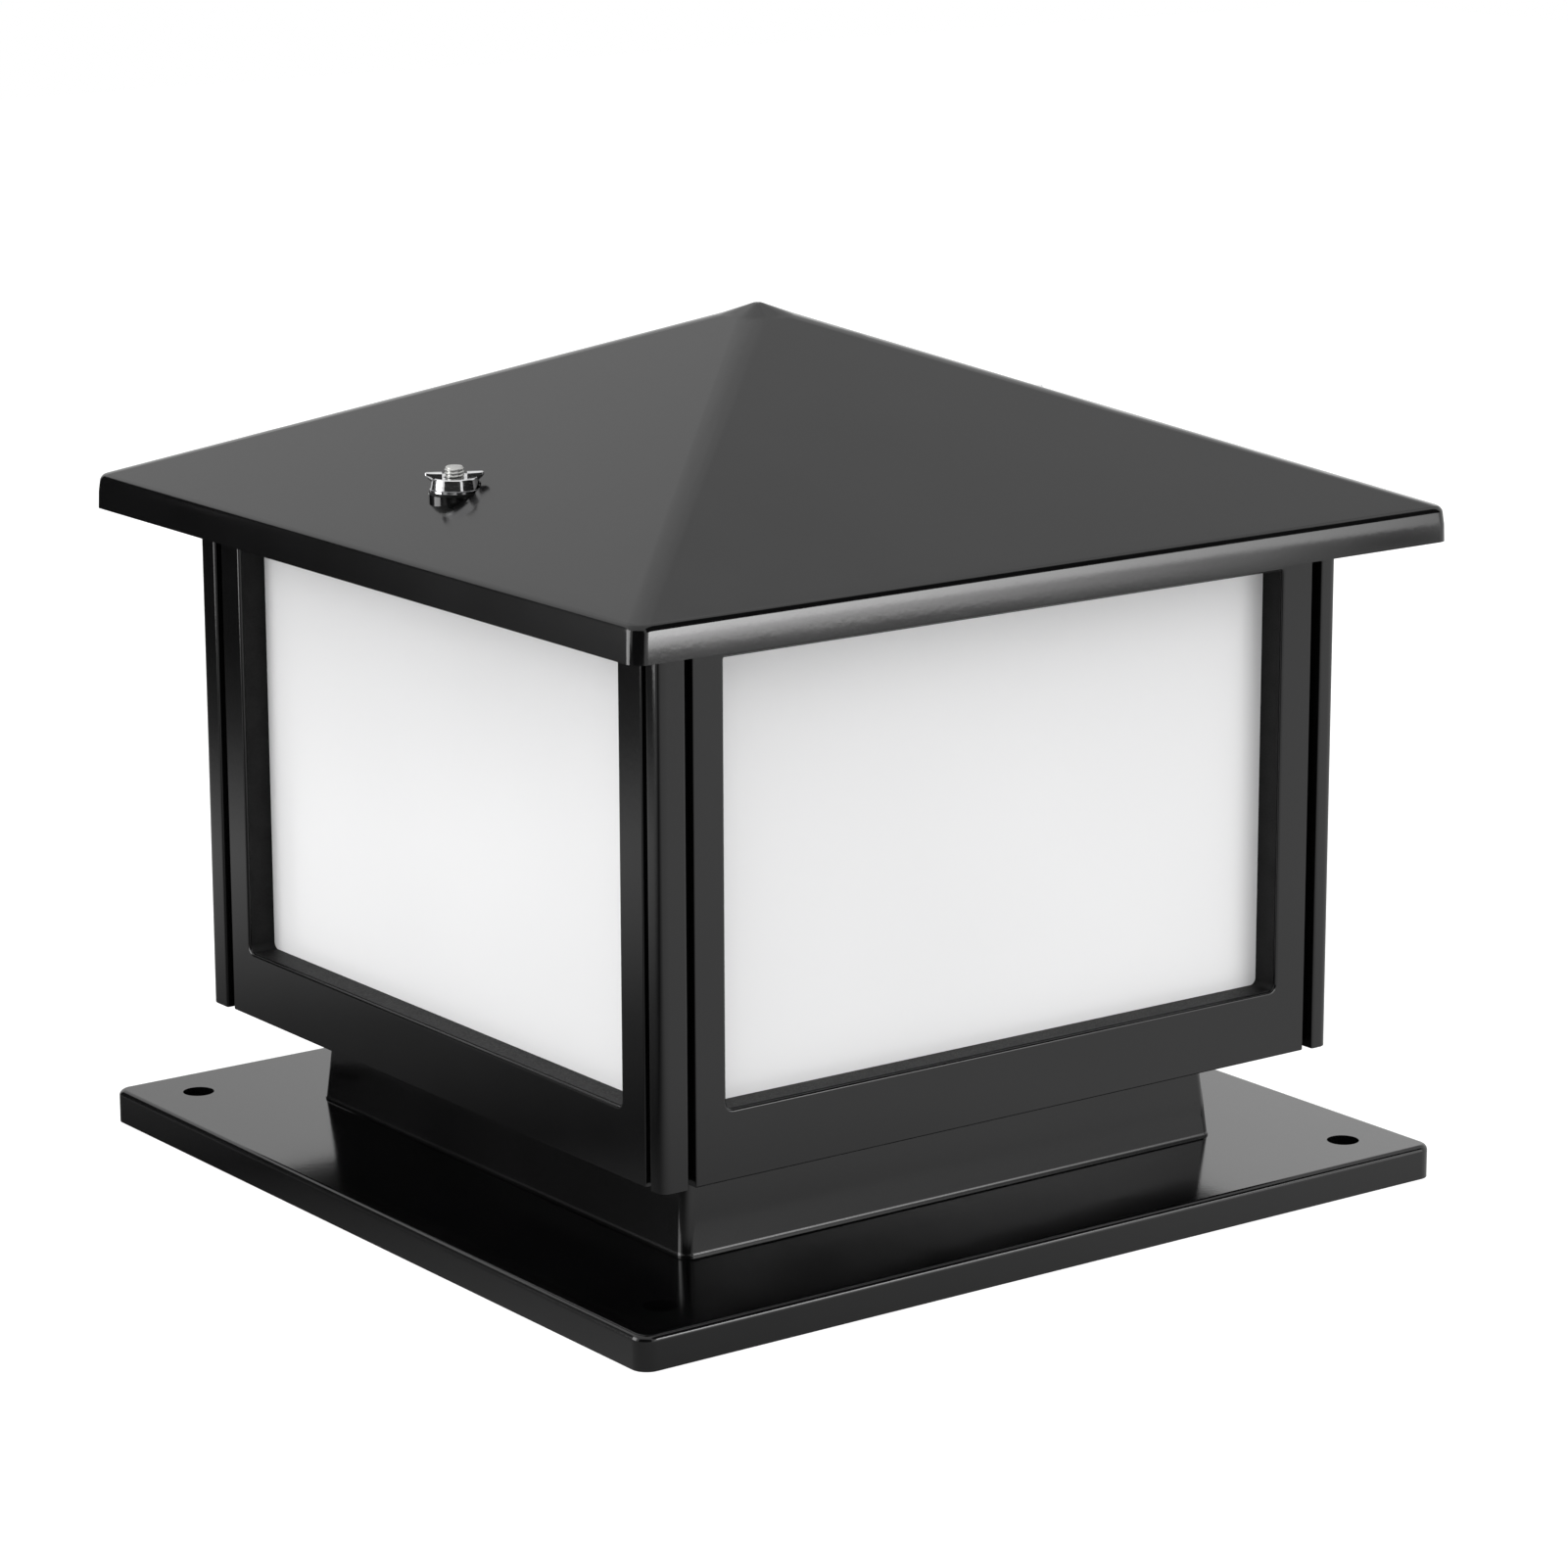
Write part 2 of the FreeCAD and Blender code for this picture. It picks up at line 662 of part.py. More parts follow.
def trayScrews():
    """Through the tray into the neck's upper flange."""
    body = newBody("tray_screws")
    length = "tray_thick + neck_flange - thread_play"
    place = (neckScrewReach, neckScrewReach, trayTop)
    aroundFour(body, [turned(body, "TrayScrew", screwProfile("large", length), place)])


def topRing():
    """Flat square ring that ties the posts and frames together and carries the studs."""
    body = newBody("top_ring")
    floor = ("0", "0", bodyTop)
    sketch = drawSquare(sketchOn(body, "RingOutline", place=floor), "post_half", "post_corner")
    drawSquare(sketch, ringMouthHalf)
    raised(body, sketch, "ring_thick")
    through = "ring_thick + cut_over"
    cutOut(body, drawCircles(sketchOn(body, "RingCornerHoles", place=floor), "middle_shank + hole_play",
                             fourCorners(postMiddle)), through)
    sides = mirroredPair("frame_screw_reach", f"0 - {panelMiddle}")
    sideHoles = drawCircles(sketchOn(body, "RingSideHoles", place=floor), "middle_shank + hole_play", sides)
    aroundFour(body, [cutOut(body, sideHoles, through)])
    cutOut(body, drawCircles(sketchOn(body, "RingStudHoles", place=floor), "stud_radius + thread_play",
                             list(studSpots.values())), through)


def ringScrews():
    body = newBody("ring_screws")
    spots = [(postMiddle, postMiddle)] + mirroredPair("frame_screw_reach", f"0 - {panelMiddle}")
    profile = screwProfile("middle", "ring_thick + ring_screw_grip - thread_play")
    made = [turned(body, f"RingScrew{index}", profile, (across, away, ringTop))
            for index, (across, away) in enumerate(spots)]
    aroundFour(body, made)


def roofGasket():
    body = newBody("roof_gasket")
    sketch = drawSquare(sketchOn(body, "Gasket", place=("0", "0", ringTop)), gasketHalf, "gasket_width")
    drawSquare(sketch, f"({gasketHalf} - gasket_width)")
    raised(body, sketch, "gasket_thick")


# Roof and its fixings

def roofCap():
    """Hollow pyramid on a fascia, a skirt that sits on the gasket and a level seat at each stud.

    The fascia leans in above its waist. The hips are rounder at the shoulder, close under the peak, than at
    the eaves."""
    body = newBody("roof_cap")
    eaves = ("0", "0", eavesLift)
    foot = drawSquare(sketchOn(body, "FasciaFoot", place=eaves), roofHalf, "roof_corner")
    waist = sketchOn(body, "FasciaWaist", place=("0", "0", f"{eavesLift} + fascia_waist"))
    drawSquare(waist, f"({roofHalf} - waist_lean)", "roof_corner")
    head = drawSquare(sketchOn(body, "FasciaHead", place=("0", "0", fasciaTop)), slopeHalf, "roof_corner")
    fascia = lofted(body, "PartDesign::AdditiveLoft", foot, waist, head)
    doc.recompute()
    low = sketchOn(body, "SlopeFoot", place=("0", "0", fasciaTop))
    shoulderLift = f"{fasciaTop} + ({slopeHalf} - shoulder_half) * {roofSlope}"
    shoulder = sketchOn(body, "SlopeShoulder", place=("0", "0", shoulderLift))
    high = sketchOn(body, "Peak", place=("0", "0", f"{fasciaTop} + roof_rise"))
    drawSquare(low, slopeHalf, "roof_corner")
    drawSquare(shoulder, "shoulder_half", "shoulder_corner")
    drawSquare(high, "peak_half", "peak_corner")
    slopes = lofted(body, "PartDesign::AdditiveLoft", low, shoulder, high)
    lift = fascia.Shape.BoundBox.ZMax
    near = size("thread_play")
    rounded(body, slopes, "roof_edge",
            lambda edge: edge.BoundBox.ZMin > lift - near and edge.BoundBox.ZMax < lift + near)
    innerHalf = f"({roofHalf} - roof_wall)"
    innerLift = f"({fasciaTop} + (roof_wall - fascia_lean) * {roofSlope} - {wallDrop})"
    innerRise = f"(({innerHalf} - peak_half) * {roofSlope})"
    eavesHollow = drawSquare(sketchOn(body, "EavesHollow", place=eaves), innerHalf)
    cutOut(body, eavesHollow, f"{innerLift} - {eavesLift}")
    low = sketchOn(body, "HollowFoot", place=("0", "0", innerLift))
    high = sketchOn(body, "HollowPeak", place=("0", "0", f"{innerLift} + {innerRise}"))
    drawSquare(low, innerHalf)
    drawSquare(high, "peak_half")
    lofted(body, "PartDesign::SubtractiveLoft", low, high)
    skirt = drawSquare(sketchOn(body, "Skirt", place=("0", "0", gasketTop)), skirtHalf)
    drawSquare(skirt, f"({skirtHalf} - skirt_wall)")
    slopeAtSkirt = f"{fasciaTop} + ({slopeHalf} - {skirtHalf}) * {roofSlope}"
    raised(body, skirt, f"{slopeAtSkirt} - roof_wall / 2 - {gasketTop}")
    spots = list(studSpots.values())
    seat = sketchOn(body, "Seats", place=("0", "0", f"{seatLift} - seat_depth"))
    raised(body, drawCircles(seat, "seat_radius", spots), "seat_depth")
    spotFace = sketchOn(body, "SpotFaces", place=("0", "0", seatLift))
    cutOut(body, drawCircles(spotFace, "seat_radius", spots), "seat_depth")
    holes = sketchOn(body, "StudHoles", place=eaves)
    cutOut(body, drawCircles(holes, "stud_radius + seat_hole_play", spots), "roof_rise")


def roofStuds():
    """Two threaded studs, flush with the ring's underside."""
    body = newBody("roof_studs")
    for side, (across, away) in studSpots.items():
        turned(body, f"Stud{side}", [
            ("0", bodyTop), ("stud_radius", bodyTop), ("stud_radius", f"{studTop} - stud_bevel"),
            ("stud_radius - stud_bevel", studTop), ("0", studTop),
        ], (across, away, "0"))


def studNuts():
    """Hexagon nuts that lock the studs to the ring."""
    body = newBody("stud_nuts")
    for side, (across, away) in studSpots.items():
        sketch = drawHexagon(sketchOn(body, f"StudNut{side}", place=(across, away, ringTop)), "lock_nut_flat")
        raised(body, drawCircles(sketch, "stud_radius + thread_play", [("0", "0")]), "lock_nut_height")


def washerProfile(low, high, radius, bore):
    return [(bore, low), (radius, low), (radius, high), (bore, high)]


def studSeals():
    body = newBody("stud_seals")
    for side, (across, away) in studSpots.items():
        profile = washerProfile(seatLift, sealTop, "seal_radius", "stud_radius + hole_play")
        turned(body, f"StudSeal{side}", profile, (across, away, "0"))


def nutWasher(side):
    body = newBody(f"{side}_washer")
    across, away = studSpots[side]
    profile = washerProfile(sealTop, washerTop, "washer_radius", "stud_radius + hole_play")
    turned(body, f"Washer{side}", profile, (across, away, "0"))


def wingNut(side):
    """Tapered hub with two wings that rise outwards, bored to run on its stud."""
    body = newBody(f"{side}_wing_nut")
    across, away = studSpots[side]
    turned(body, f"Hub{side}", [
        ("0", "0"), ("hub_radius", "0"), ("hub_top_radius", "hub_height"), ("0", "hub_height"),
    ], (across, away, washerTop))
    wings = sketchOn(body, f"Wings{side}", "XZ_Plane", (across, f"{away} + wing_thick / 2", washerTop))
    drawPolygon(wings, [
        ("0 - wing_root", "wing_tip / 2"), ("wing_root", "wing_tip / 2"), ("wing_foot", "wing_tip / 2"),
        ("wing_reach", "wing_height - wing_tip / 2"), ("wing_reach", "wing_height"),
        ("wing_shelf", "wing_height"), ("wing_root", "hub_height"),
        ("0 - wing_root", "hub_height"), ("0 - wing_shelf", "wing_height"),
        ("0 - wing_reach", "wing_height"), ("0 - wing_reach", "wing_height - wing_tip / 2"),
        ("0 - wing_foot", "wing_tip / 2"),
    ])
    raised(body, wings, "wing_thick")
    bore = sketchOn(body, f"NutBore{side}", place=(across, away, washerTop))
    cutOut(body, drawCircles(bore, "stud_radius + thread_play", [("0", "0")]), "wing_height + cut_over")
    way = -1 if side == "left" else 1
    axis = Vector(way * (size("post_half") - size("stud_inset")), way * size("stud_side"), 0)
    turn = FreeCAD.Rotation(Vector(0, 0, 1), size(f"{side}_nut_turn"))
    body.Placement = FreeCAD.Placement(Vector(0, 0, 0), turn, axis)


# Lampholder and lamp

def holderBracket():
    """Bridge of folded sheet that lifts the lampholder off the tray."""
    body = newBody("holder_bracket")
    sketch = sketchOn(body, "Bridge", "XZ_Plane", ("0", "bridge_width / 2", trayTop))
    legIn = "(bridge_half - bridge_sheet)"
    under = "(bridge_height - bridge_sheet)"
    half = [
        ("bridge_foot", "0"), ("bridge_foot", "bridge_sheet"), ("bridge_half", "bridge_sheet"),
        ("bridge_half", "bridge_height"),
    ]
    inside = [(legIn, under), (legIn, "0")]
    mirror = [(f"0 - {across}", up) for across, up in reversed(half)]
    insideMirror = [(f"0 - {across}", up) for across, up in reversed(inside)]
    drawPolygon(sketch, half + mirror + insideMirror + inside)
    raised(body, sketch, "bridge_width")
    feet = sketchOn(body, "FootHoles", place=("0", "0", trayTop))
    cutOut(body, drawCircles(feet, "middle_shank + hole_play", mirroredPair("foot_screw_reach", "0")),
           "bridge_sheet")
    holes = sketchOn(body, "HolderHoles", place=("0", "0", f"{bridgeTop} - bridge_sheet"))
    cutOut(body, drawCircles(holes, "small_shank + hole_play", mirroredPair("holder_screw_reach", "0")),
           "bridge_sheet + cut_over")


def bracketScrews():
    body = newBody("bracket_screws")
    for index, (across, away) in enumerate(mirroredPair("foot_screw_reach", "0")):
        profile = screwProfile("middle", "bridge_sheet + tray_thick - thread_play")
        turned(body, f"FootScrew{index}", profile, (across, away, f"{trayTop} + bridge_sheet"))


def lampholder():
    """Ceramic cup with a deep round well for the threaded shell."""
    body = newBody("lampholder_body")
    turned(body, "Holder", [
        ("0", bridgeTop), ("holder_radius", bridgeTop), ("holder_radius", f"{shellFloor}"),
        ("holder_mouth_radius", f"{bridgeTop} + holder_height"),
        ("shell_radius", f"{bridgeTop} + holder_height"), ("shell_radius", shellFloor), ("0", shellFloor),
    ])
    bores = sketchOn(body, "HolderBores", place=("0", "0", bridgeTop))
    cutOut(body, drawCircles(bores, "small_shank + thread_play", mirroredPair("holder_screw_reach", "0")),
           "holder_screw_length")


def holderShell():
    body = newBody("holder_shell")
    low = shellFloor
    high = f"{shellFloor} + shell_height"
    turned(body, "Shell", washerProfile(low, high, "shell_radius - thread_play", "shell_radius - shell_wall"))


def holderContact():
    body = newBody("holder_contact")
    sketch = sketchOn(body, "Contact", place=("0", "0", shellFloor))
    raised(body, drawCircles(sketch, "contact_radius", [("0", "0")]), "contact_thick")


def holderScrews():
    body = newBody("holder_screws")
    for index, (across, away) in enumerate(mirroredPair("holder_screw_reach", "0")):
        profile = screwProfile("small", "bridge_sheet + holder_screw_length - thread_play", "-")
        turned(body, f"HolderScrew{index}", profile, (across, away, f"{bridgeTop} - bridge_sheet"))


def lampTip():
    body = newBody("lamp_tip")
    turned(body, "Tip", [
        ("0", tipFoot), ("tip_radius - tip_height / 2", tipFoot), ("tip_radius", capFoot), ("0", capFoot),
    ])


def lampCap():
    body = newBody("lamp_cap")
    turned(body, "Cap", [
        ("0", capFoot), ("tip_radius", capFoot), ("cap_radius", f"{capFoot} + tip_height"),
        ("cap_radius", capTop), ("0", capTop),
    ])


def lampHousing():
    """Flared plastic body, hollow above, that holds the board and the globe."""
    body = newBody("lamp_housing")
    rim = "(housing_radius - housing_wall)"
    turned(body, "Housing", [
        ("0", capTop), ("cap_radius", capTop), ("cap_radius", f"{capTop} + housing_neck"),
        ("housing_radius", housingTop), (rim, housingTop),
        ("board_radius", f"{housingTop} - board_thick"), ("0", f"{housingTop} - board_thick"),
    ])


def lampBoard():
    body = newBody("lamp_board")
    sketch = sketchOn(body, "Board", place=("0", "0", f"{housingTop} - board_thick"))
    raised(body, drawCircles(sketch, "board_radius - hole_play", [("0", "0")]), "board_thick / 2")


def lampGlobe():
    """Opal dome, open below, with an even wall."""
    body = newBody("lamp_globe")
    outer = sketchOn(body, "Globe", place=("0", "0", housingTop))
    dome = raised(body, drawCircles(outer, "globe_radius", [("0", "0")]), "globe_height")
    doc.recompute()
    middle = dome.Shape.BoundBox.Center.z
    dome = rounded(body, dome, "globe_round", lambda edge: edge.BoundBox.ZMin > middle)
    doc.recompute()
    low = dome.Shape.BoundBox.ZMin + size("thread_play")
    faces = enumerate(dome.Shape.Faces, start=1)
    flats = [f"Face{index}" for index, face in faces if face.BoundBox.ZMax < low]
    hollow = body.newObject("PartDesign::Thickness", "GlobeHollow")
    hollow.Base = (dome, flats)
    hollow.Reversed = True
    bind(hollow, "Value", "globe_wall")


# Wiring

poleSides = {"live": "0 - pole_step", "neutral": "0", "earth": "pole_step"}
blockWest = "(block_reach + block_long / 2)"
blockEast = "(block_reach - block_long / 2)"


def terminalBlock():
    """Three-way block with a round way along X for each sleeve and two screw wells over it."""
    body = newBody("terminal_block")
    sketch = sketchOn(body, "Block", place=("0", "0", trayTop))
    drawBox(sketch, f"0 - {blockWest}", f"0 - {blockEast}", "0 - block_half", "block_half")
    raised(body, sketch, "block_height")
    ways = sketchOn(body, "PoleWays", "YZ_Plane", (f"0 - {blockWest} - cut_over", "0", "0"))
    drawCircles(ways, "sleeve_radius + thread_play", [(away, poleLift) for away in poleSides.values()])
    cutOut(body, ways, "block_long + cut_over * 2")
    wells = sketchOn(body, "ScrewWells", place=("0", "0", poleLift))
    cutOut(body, drawCircles(wells, "small_shank + hole_play", wellSpots), "block_height")


wellSpots = [(f"0 - block_reach {sign} block_long / 4", away) for sign in "+-" for away in poleSides.values()]


def terminalSleeves():
    """Brass tubes, a little proud of the block at both ends."""
    body = newBody("terminal_sleeves")
    sketch = sketchOn(body, "Sleeves", "YZ_Plane", (f"0 - {blockWest} - sleeve_proud", "0", "0"))
    for radius in ("sleeve_radius", "sleeve_bore"):
        drawCircles(sketch, radius, [(away, poleLift) for away in poleSides.values()])
    raised(body, sketch, "block_long + sleeve_proud * 2")


def terminalScrews():
    """Grub screws standing on the sleeves."""
    body = newBody("terminal_screws")
    sketch = sketchOn(body, "Grubs", place=("0", "0", f"{poleLift} + sleeve_radius + thread_play"))
    raised(body, drawCircles(sketch, "small_shank", wellSpots), "block_height - pole_rise - sleeve_radius")


def lead(node, corners):
    """Insulated wire along straight runs, with an arc of one radius at each corner."""
    points = [Vector(*corner) for corner in corners]
    bend = size("lead_bend")
    edges = []
    here = points[0]
    for before, corner, after in zip(points, points[1:], points[2:]):
        back = (before - corner).normalize()
        onward = (after - corner).normalize()
        half = back.getAngle(onward) / 2
        setback = bend / math.tan(half)
        middle = corner + (back + onward).normalize() * (bend / math.sin(half))
        crown = middle + (corner - middle).normalize() * bend
        enter = corner + back * setback
        leave = corner + onward * setback
        edges.append(Part.LineSegment(here, enter).toShape())
        edges.append(Part.Arc(enter, crown, leave).toShape())
        here = leave
    edges.append(Part.LineSegment(here, points[-1]).toShape())
    path = Part.Wire(edges)
    radius = size("lead_radius")
    ring = Part.Wire(Part.Circle(points[0], points[1] - points[0], radius).toShape())
    item = doc.addObject("Part::Feature", node)
    item.Label = node
    item.Shape = path.makePipeShell([ring], True, False)
    nodes.append(item)
    print(node, "wire length", round(path.Length, 1), "volume over section times length",
          round(item.Shape.Volume / (math.pi * radius ** 2 * path.Length), 4))


# Where along the space between block and lampholder a lead starts and stops rising
leadRiseShare = 0.3
leadLevelShare = 0.65


def leads():
    """Live and neutral rise to the lampholder's side, earth runs down to its tag on the tray."""
    trayLift = size("base_height") + size("neck_height") + size("tray_thick")
    poleHeight = trayLift + size("pole_rise")
    start = size("block_long") / 2 + size("sleeve_proud") - size("block_reach")
    gap = -start - size("holder_radius")
    holderHeight = trayLift + size("bridge_height") + size("lead_rise")
    for node, pole, side in (("live_lead", -size("pole_step"), -size("lead_side")), ("neutral_lead", 0, 0)):
        near = max(abs(side) - size("lead_radius"), 0)
        meet = -math.sqrt(size("holder_radius") ** 2 - near ** 2) - size("thread_play")
        lead(node, [
            (start, pole, poleHeight), (start + gap * leadRiseShare, pole, poleHeight),
            (start + gap * leadLevelShare, side, holderHeight), (meet, side, holderHeight),
        ])
    tag = size("earth_tag_radius") + size("thread_play")
    tagLift = trayLift + size("lead_radius") + size("thread_play")
    lead("earth_lead", [
        (start, size("pole_step"), poleHeight), (start + gap * leadRiseShare, size("pole_step"), poleHeight),
        (-size("earth_reach"), size("earth_side") - tag - size("earth_run"), tagLift),
        (-size("earth_reach"), size("earth_side") - tag, tagLift),
    ])


def earthScrew():
    """Screw with a wide washer head that clamps the earth lead's tag."""
    body = newBody("earth_screw")
    place = ("0 - earth_reach", "earth_side", f"{trayTop} + earth_tag_thick")
    turned(body, "EarthScrew", screwProfile("middle", "earth_tag_thick + tray_thick - thread_play"), place)


def earthTag():
    body = newBody("earth_tag")
    sketch = sketchOn(body, "Tag", place=("0 - earth_reach", "earth_side", trayTop))
    drawCircles(sketch, "earth_tag_radius", [("0", "0")])
    raised(body, drawCircles(sketch, "middle_shank + hole_play", [("0", "0")]), "earth_tag_thick")


# Cable gland below the tray

stemFoot = f"({bodyLift} - gland_collar - gland_stem)"


def glandBody():
    """Hexagon collar under the tray, thread up through it and a plain stem down into the nut."""
    body = newBody("gland_body")
    collar = sketchOn(body, "Collar", place=("0", glandSide, f"{bodyLift} - gland_collar"))
    raised(body, drawHexagon(collar, "gland_flat"), "gland_collar")
    thread = sketchOn(body, "GlandThread", place=("0", glandSide, bodyLift))
    raised(body, drawCircles(thread, "gland_thread", [("0", "0")]),
           "tray_thick + lock_ring_height + cut_over")
    stem = sketchOn(body, "GlandStem", place=("0", glandSide, stemFoot))
    raised(body, drawCircles(stem, "gland_thread", [("0", "0")]), "gland_stem")
    bore = sketchOn(body, "GlandBore", place=("0", glandSide, stemFoot))
    cutOut(body, drawCircles(bore, "gland_inner", [("0", "0")]), bodyLift)


def glandNut():
    """Dome nut that squeezes the seal, with a hole in its end for the cable."""
    body = newBody("gland_nut")
    foot = f"{stemFoot} - gland_nut_cap"
    low = sketchOn(body, "DomeNut", place=("0", glandSide, foot))
    raised(body, drawHexagon(low, "gland_nut_flat"), "gland_nut_height")
    well = sketchOn(body, "NutWell", place=("0", glandSide, stemFoot))
    cutOut(body, drawCircles(well, "gland_thread + thread_play", [("0", "0")]), "gland_nut_height")
    hole = sketchOn(body, "NutHole", place=("0", glandSide, foot))
    cutOut(body, drawCircles(hole, "cable_radius + hole_play", [("0", "0")]), "gland_nut_cap + cut_over")


def glandSeal():
    """Rubber sleeve between the nut's end and the stem, bored for the supply cable."""
    body = newBody("gland_seal")
    sketch = sketchOn(body, "Seal", place=("0", glandSide, stemFoot))
    drawCircles(sketch, "gland_inner - thread_play", [("0", "0")])
    raised(body, drawCircles(sketch, "cable_radius", [("0", "0")]), "seal_sleeve")


def glandLockRing():
    body = newBody("gland_lock_ring")
    sketch = sketchOn(body, "LockRing", place=("0", glandSide, trayTop))
    drawHexagon(sketch, "lock_ring_flat")
    raised(body, drawCircles(sketch, "gland_thread + thread_play", [("0", "0")]), "lock_ring_height")


def finish():
    doc.recompute()
    failed = [item.Label for item in doc.Objects if {"Invalid", "Error"} & set(item.State)]
    failed += [body.Label for body in nodes if body.Shape.isNull() or not body.Shape.isValid()]
    if failed:
        raise RuntimeError("failed: " + ", ".join(failed))
    os.makedirs("parts", exist_ok=True)
    for body in nodes:
        body.Shape.exportStep(f"parts/{body.Label}.step")
    print(len(nodes), "nodes written")


corners = ["post_rear_right", "post_rear_left", "post_front_left", "post_front_right"]
sides = ["front", "right", "rear", "left"]

basePlate()
baseScrews()
neck()
floorTray()
trayScrews()
for quarters, node in enumerate(corners):
    cornerPost(node, quarters)
for quarters, side in enumerate(sides):
    windowFrame(f"frame_{side}", quarters)
    opalPanel(f"panel_{side}", quarters)
panelClips()
clipScrews()
frameScrews()
postScrews()
topRing()
ringScrews()
roofGasket()
roofCap()
roofStuds()
studNuts()
studSeals()
for side in studSpots:
    nutWasher(side)
    wingNut(side)
holderBracket()
bracketScrews()
lampholder()
holderShell()
holderContact()
holderScrews()
lampTip()
lampCap()
lampHousing()
lampBoard()
lampGlobe()
terminalBlock()
terminalSleeves()
terminalScrews()
leads()
earthTag()
earthScrew()
glandBody()
glandNut()
glandSeal()
glandLockRing()
finish()
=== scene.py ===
import json
import math
import bpy
import numpy as np
from mathutils import Matrix, Vector


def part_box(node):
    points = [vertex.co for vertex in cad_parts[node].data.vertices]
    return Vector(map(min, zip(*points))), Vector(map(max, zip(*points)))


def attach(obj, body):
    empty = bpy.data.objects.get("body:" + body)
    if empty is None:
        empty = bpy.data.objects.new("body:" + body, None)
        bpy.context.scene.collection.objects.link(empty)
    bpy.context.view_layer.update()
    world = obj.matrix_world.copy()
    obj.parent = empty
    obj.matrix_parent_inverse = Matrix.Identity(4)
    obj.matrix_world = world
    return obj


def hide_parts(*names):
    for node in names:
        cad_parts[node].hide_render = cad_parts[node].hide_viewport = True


# Square pillar light in gloss black with opal panels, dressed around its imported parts. Metres throughout.

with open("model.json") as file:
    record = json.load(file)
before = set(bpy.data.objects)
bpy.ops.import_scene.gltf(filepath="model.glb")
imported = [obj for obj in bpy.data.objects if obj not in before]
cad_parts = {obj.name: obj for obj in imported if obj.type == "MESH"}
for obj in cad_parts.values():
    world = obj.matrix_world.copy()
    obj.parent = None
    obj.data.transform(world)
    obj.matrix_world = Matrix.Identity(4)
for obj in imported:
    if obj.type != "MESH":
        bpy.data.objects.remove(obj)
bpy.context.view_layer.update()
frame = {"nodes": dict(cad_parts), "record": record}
nodes = frame["nodes"]
slotOf = {row["node"]: row["material_slot"] for row in frame["record"]["subparts"]}
mm = 0.001
print("frame loaded:", len(nodes), "nodes")


# Shapes: a surface is rows of points, and every cell between two rows is one quad

curveRules = {
    "sideShare": 0.48,  # most of the shorter side beside a corner that its curve takes
    "samePlace": 1e-7,
}


def ringStack(rings, arcSteps=7):
    # Each row is a rounded rectangle at its own level, with one radius for its two upper corners and one for
    # its two lower ones. Corner k runs from k to k + 1 quarter turns: centre + r (cos, sin)
    west, east, south, north, upper, lower, level = np.asarray(rings, float).T[:, :, None, None]
    quarter = np.arange(4)[None, :, None]
    corner = np.where(quarter < 2, upper, lower)
    turn = (quarter + np.linspace(0, 1, arcSteps)[None, None, :]) * np.pi / 2
    middleX = np.where((quarter == 0) | (quarter == 3), east - corner, west + corner)
    middleY = np.where(quarter < 2, north - corner, south + corner)
    x = middleX + corner * np.cos(turn)
    y = middleY + corner * np.sin(turn)
    return np.stack([x, y, level + 0 * x], -1).reshape(len(rings), -1, 3)


def squareStack(rows):
    # The same for squares about the light's axis: each row is half width, corner radius and level
    half, corner, level = np.asarray(rows, float).T
    return ringStack(np.stack([-half, half, -half, half, corner, corner, level], -1))


def turnedRows(profile, steps=48):
    # Profile of (radius, height) pairs carried round the upright axis: (r cos a, r sin a, z)
    radius, height = np.asarray(profile, float).T[:, :, None]
    turn = np.linspace(0, 2 * np.pi, steps, endpoint=False)[None, :]
    x, y = radius * np.cos(turn), radius * np.sin(turn)
    return np.stack([x, y, height + 0 * x], -1)


def softened(outline, reach, steps=4, closed=True):
    # Every corner c becomes a curve between the points a and b that lie reach before and after it:
    # (1-t)(1-t) a + 2t(1-t) c + t t b
    corner = np.asarray(outline, float)
    reach = np.broadcast_to(np.asarray(reach, float), len(corner)).copy()
    if not closed:
        reach[[0, -1]] = 0
    back = np.roll(corner, 1, 0) - corner
    onward = np.roll(corner, -1, 0) - corner
    backLength = np.linalg.norm(back, axis=1)
    onLength = np.linalg.norm(onward, axis=1)
    reach = np.minimum(reach, np.minimum(backLength, onLength) * curveRules["sideShare"])
    a = corner + back * (reach / backLength)[:, None]
    b = corner + onward * (reach / onLength)[:, None]
    t = np.linspace(0, 1, steps)[None, :, None]
    curve = (1 - t) ** 2 * a[:, None] + 2 * t * (1 - t) * corner[:, None] + t ** 2 * b[:, None]
    flat = curve.reshape(-1, corner.shape[1])
    apart = np.linalg.norm(flat - np.roll(flat, 1, 0), axis=1) > curveRules["samePlace"]
    return flat[apart]


def inset(outline, amount):
    # Points moved across their own tangent, to the inner side of a counterclockwise outline
    along = np.roll(outline, -1, 0) - np.roll(outline, 1, 0)
    along /= np.linalg.norm(along, axis=1)[:, None]
    return outline + amount * np.stack([-along[:, 1], along[:, 0]], -1)


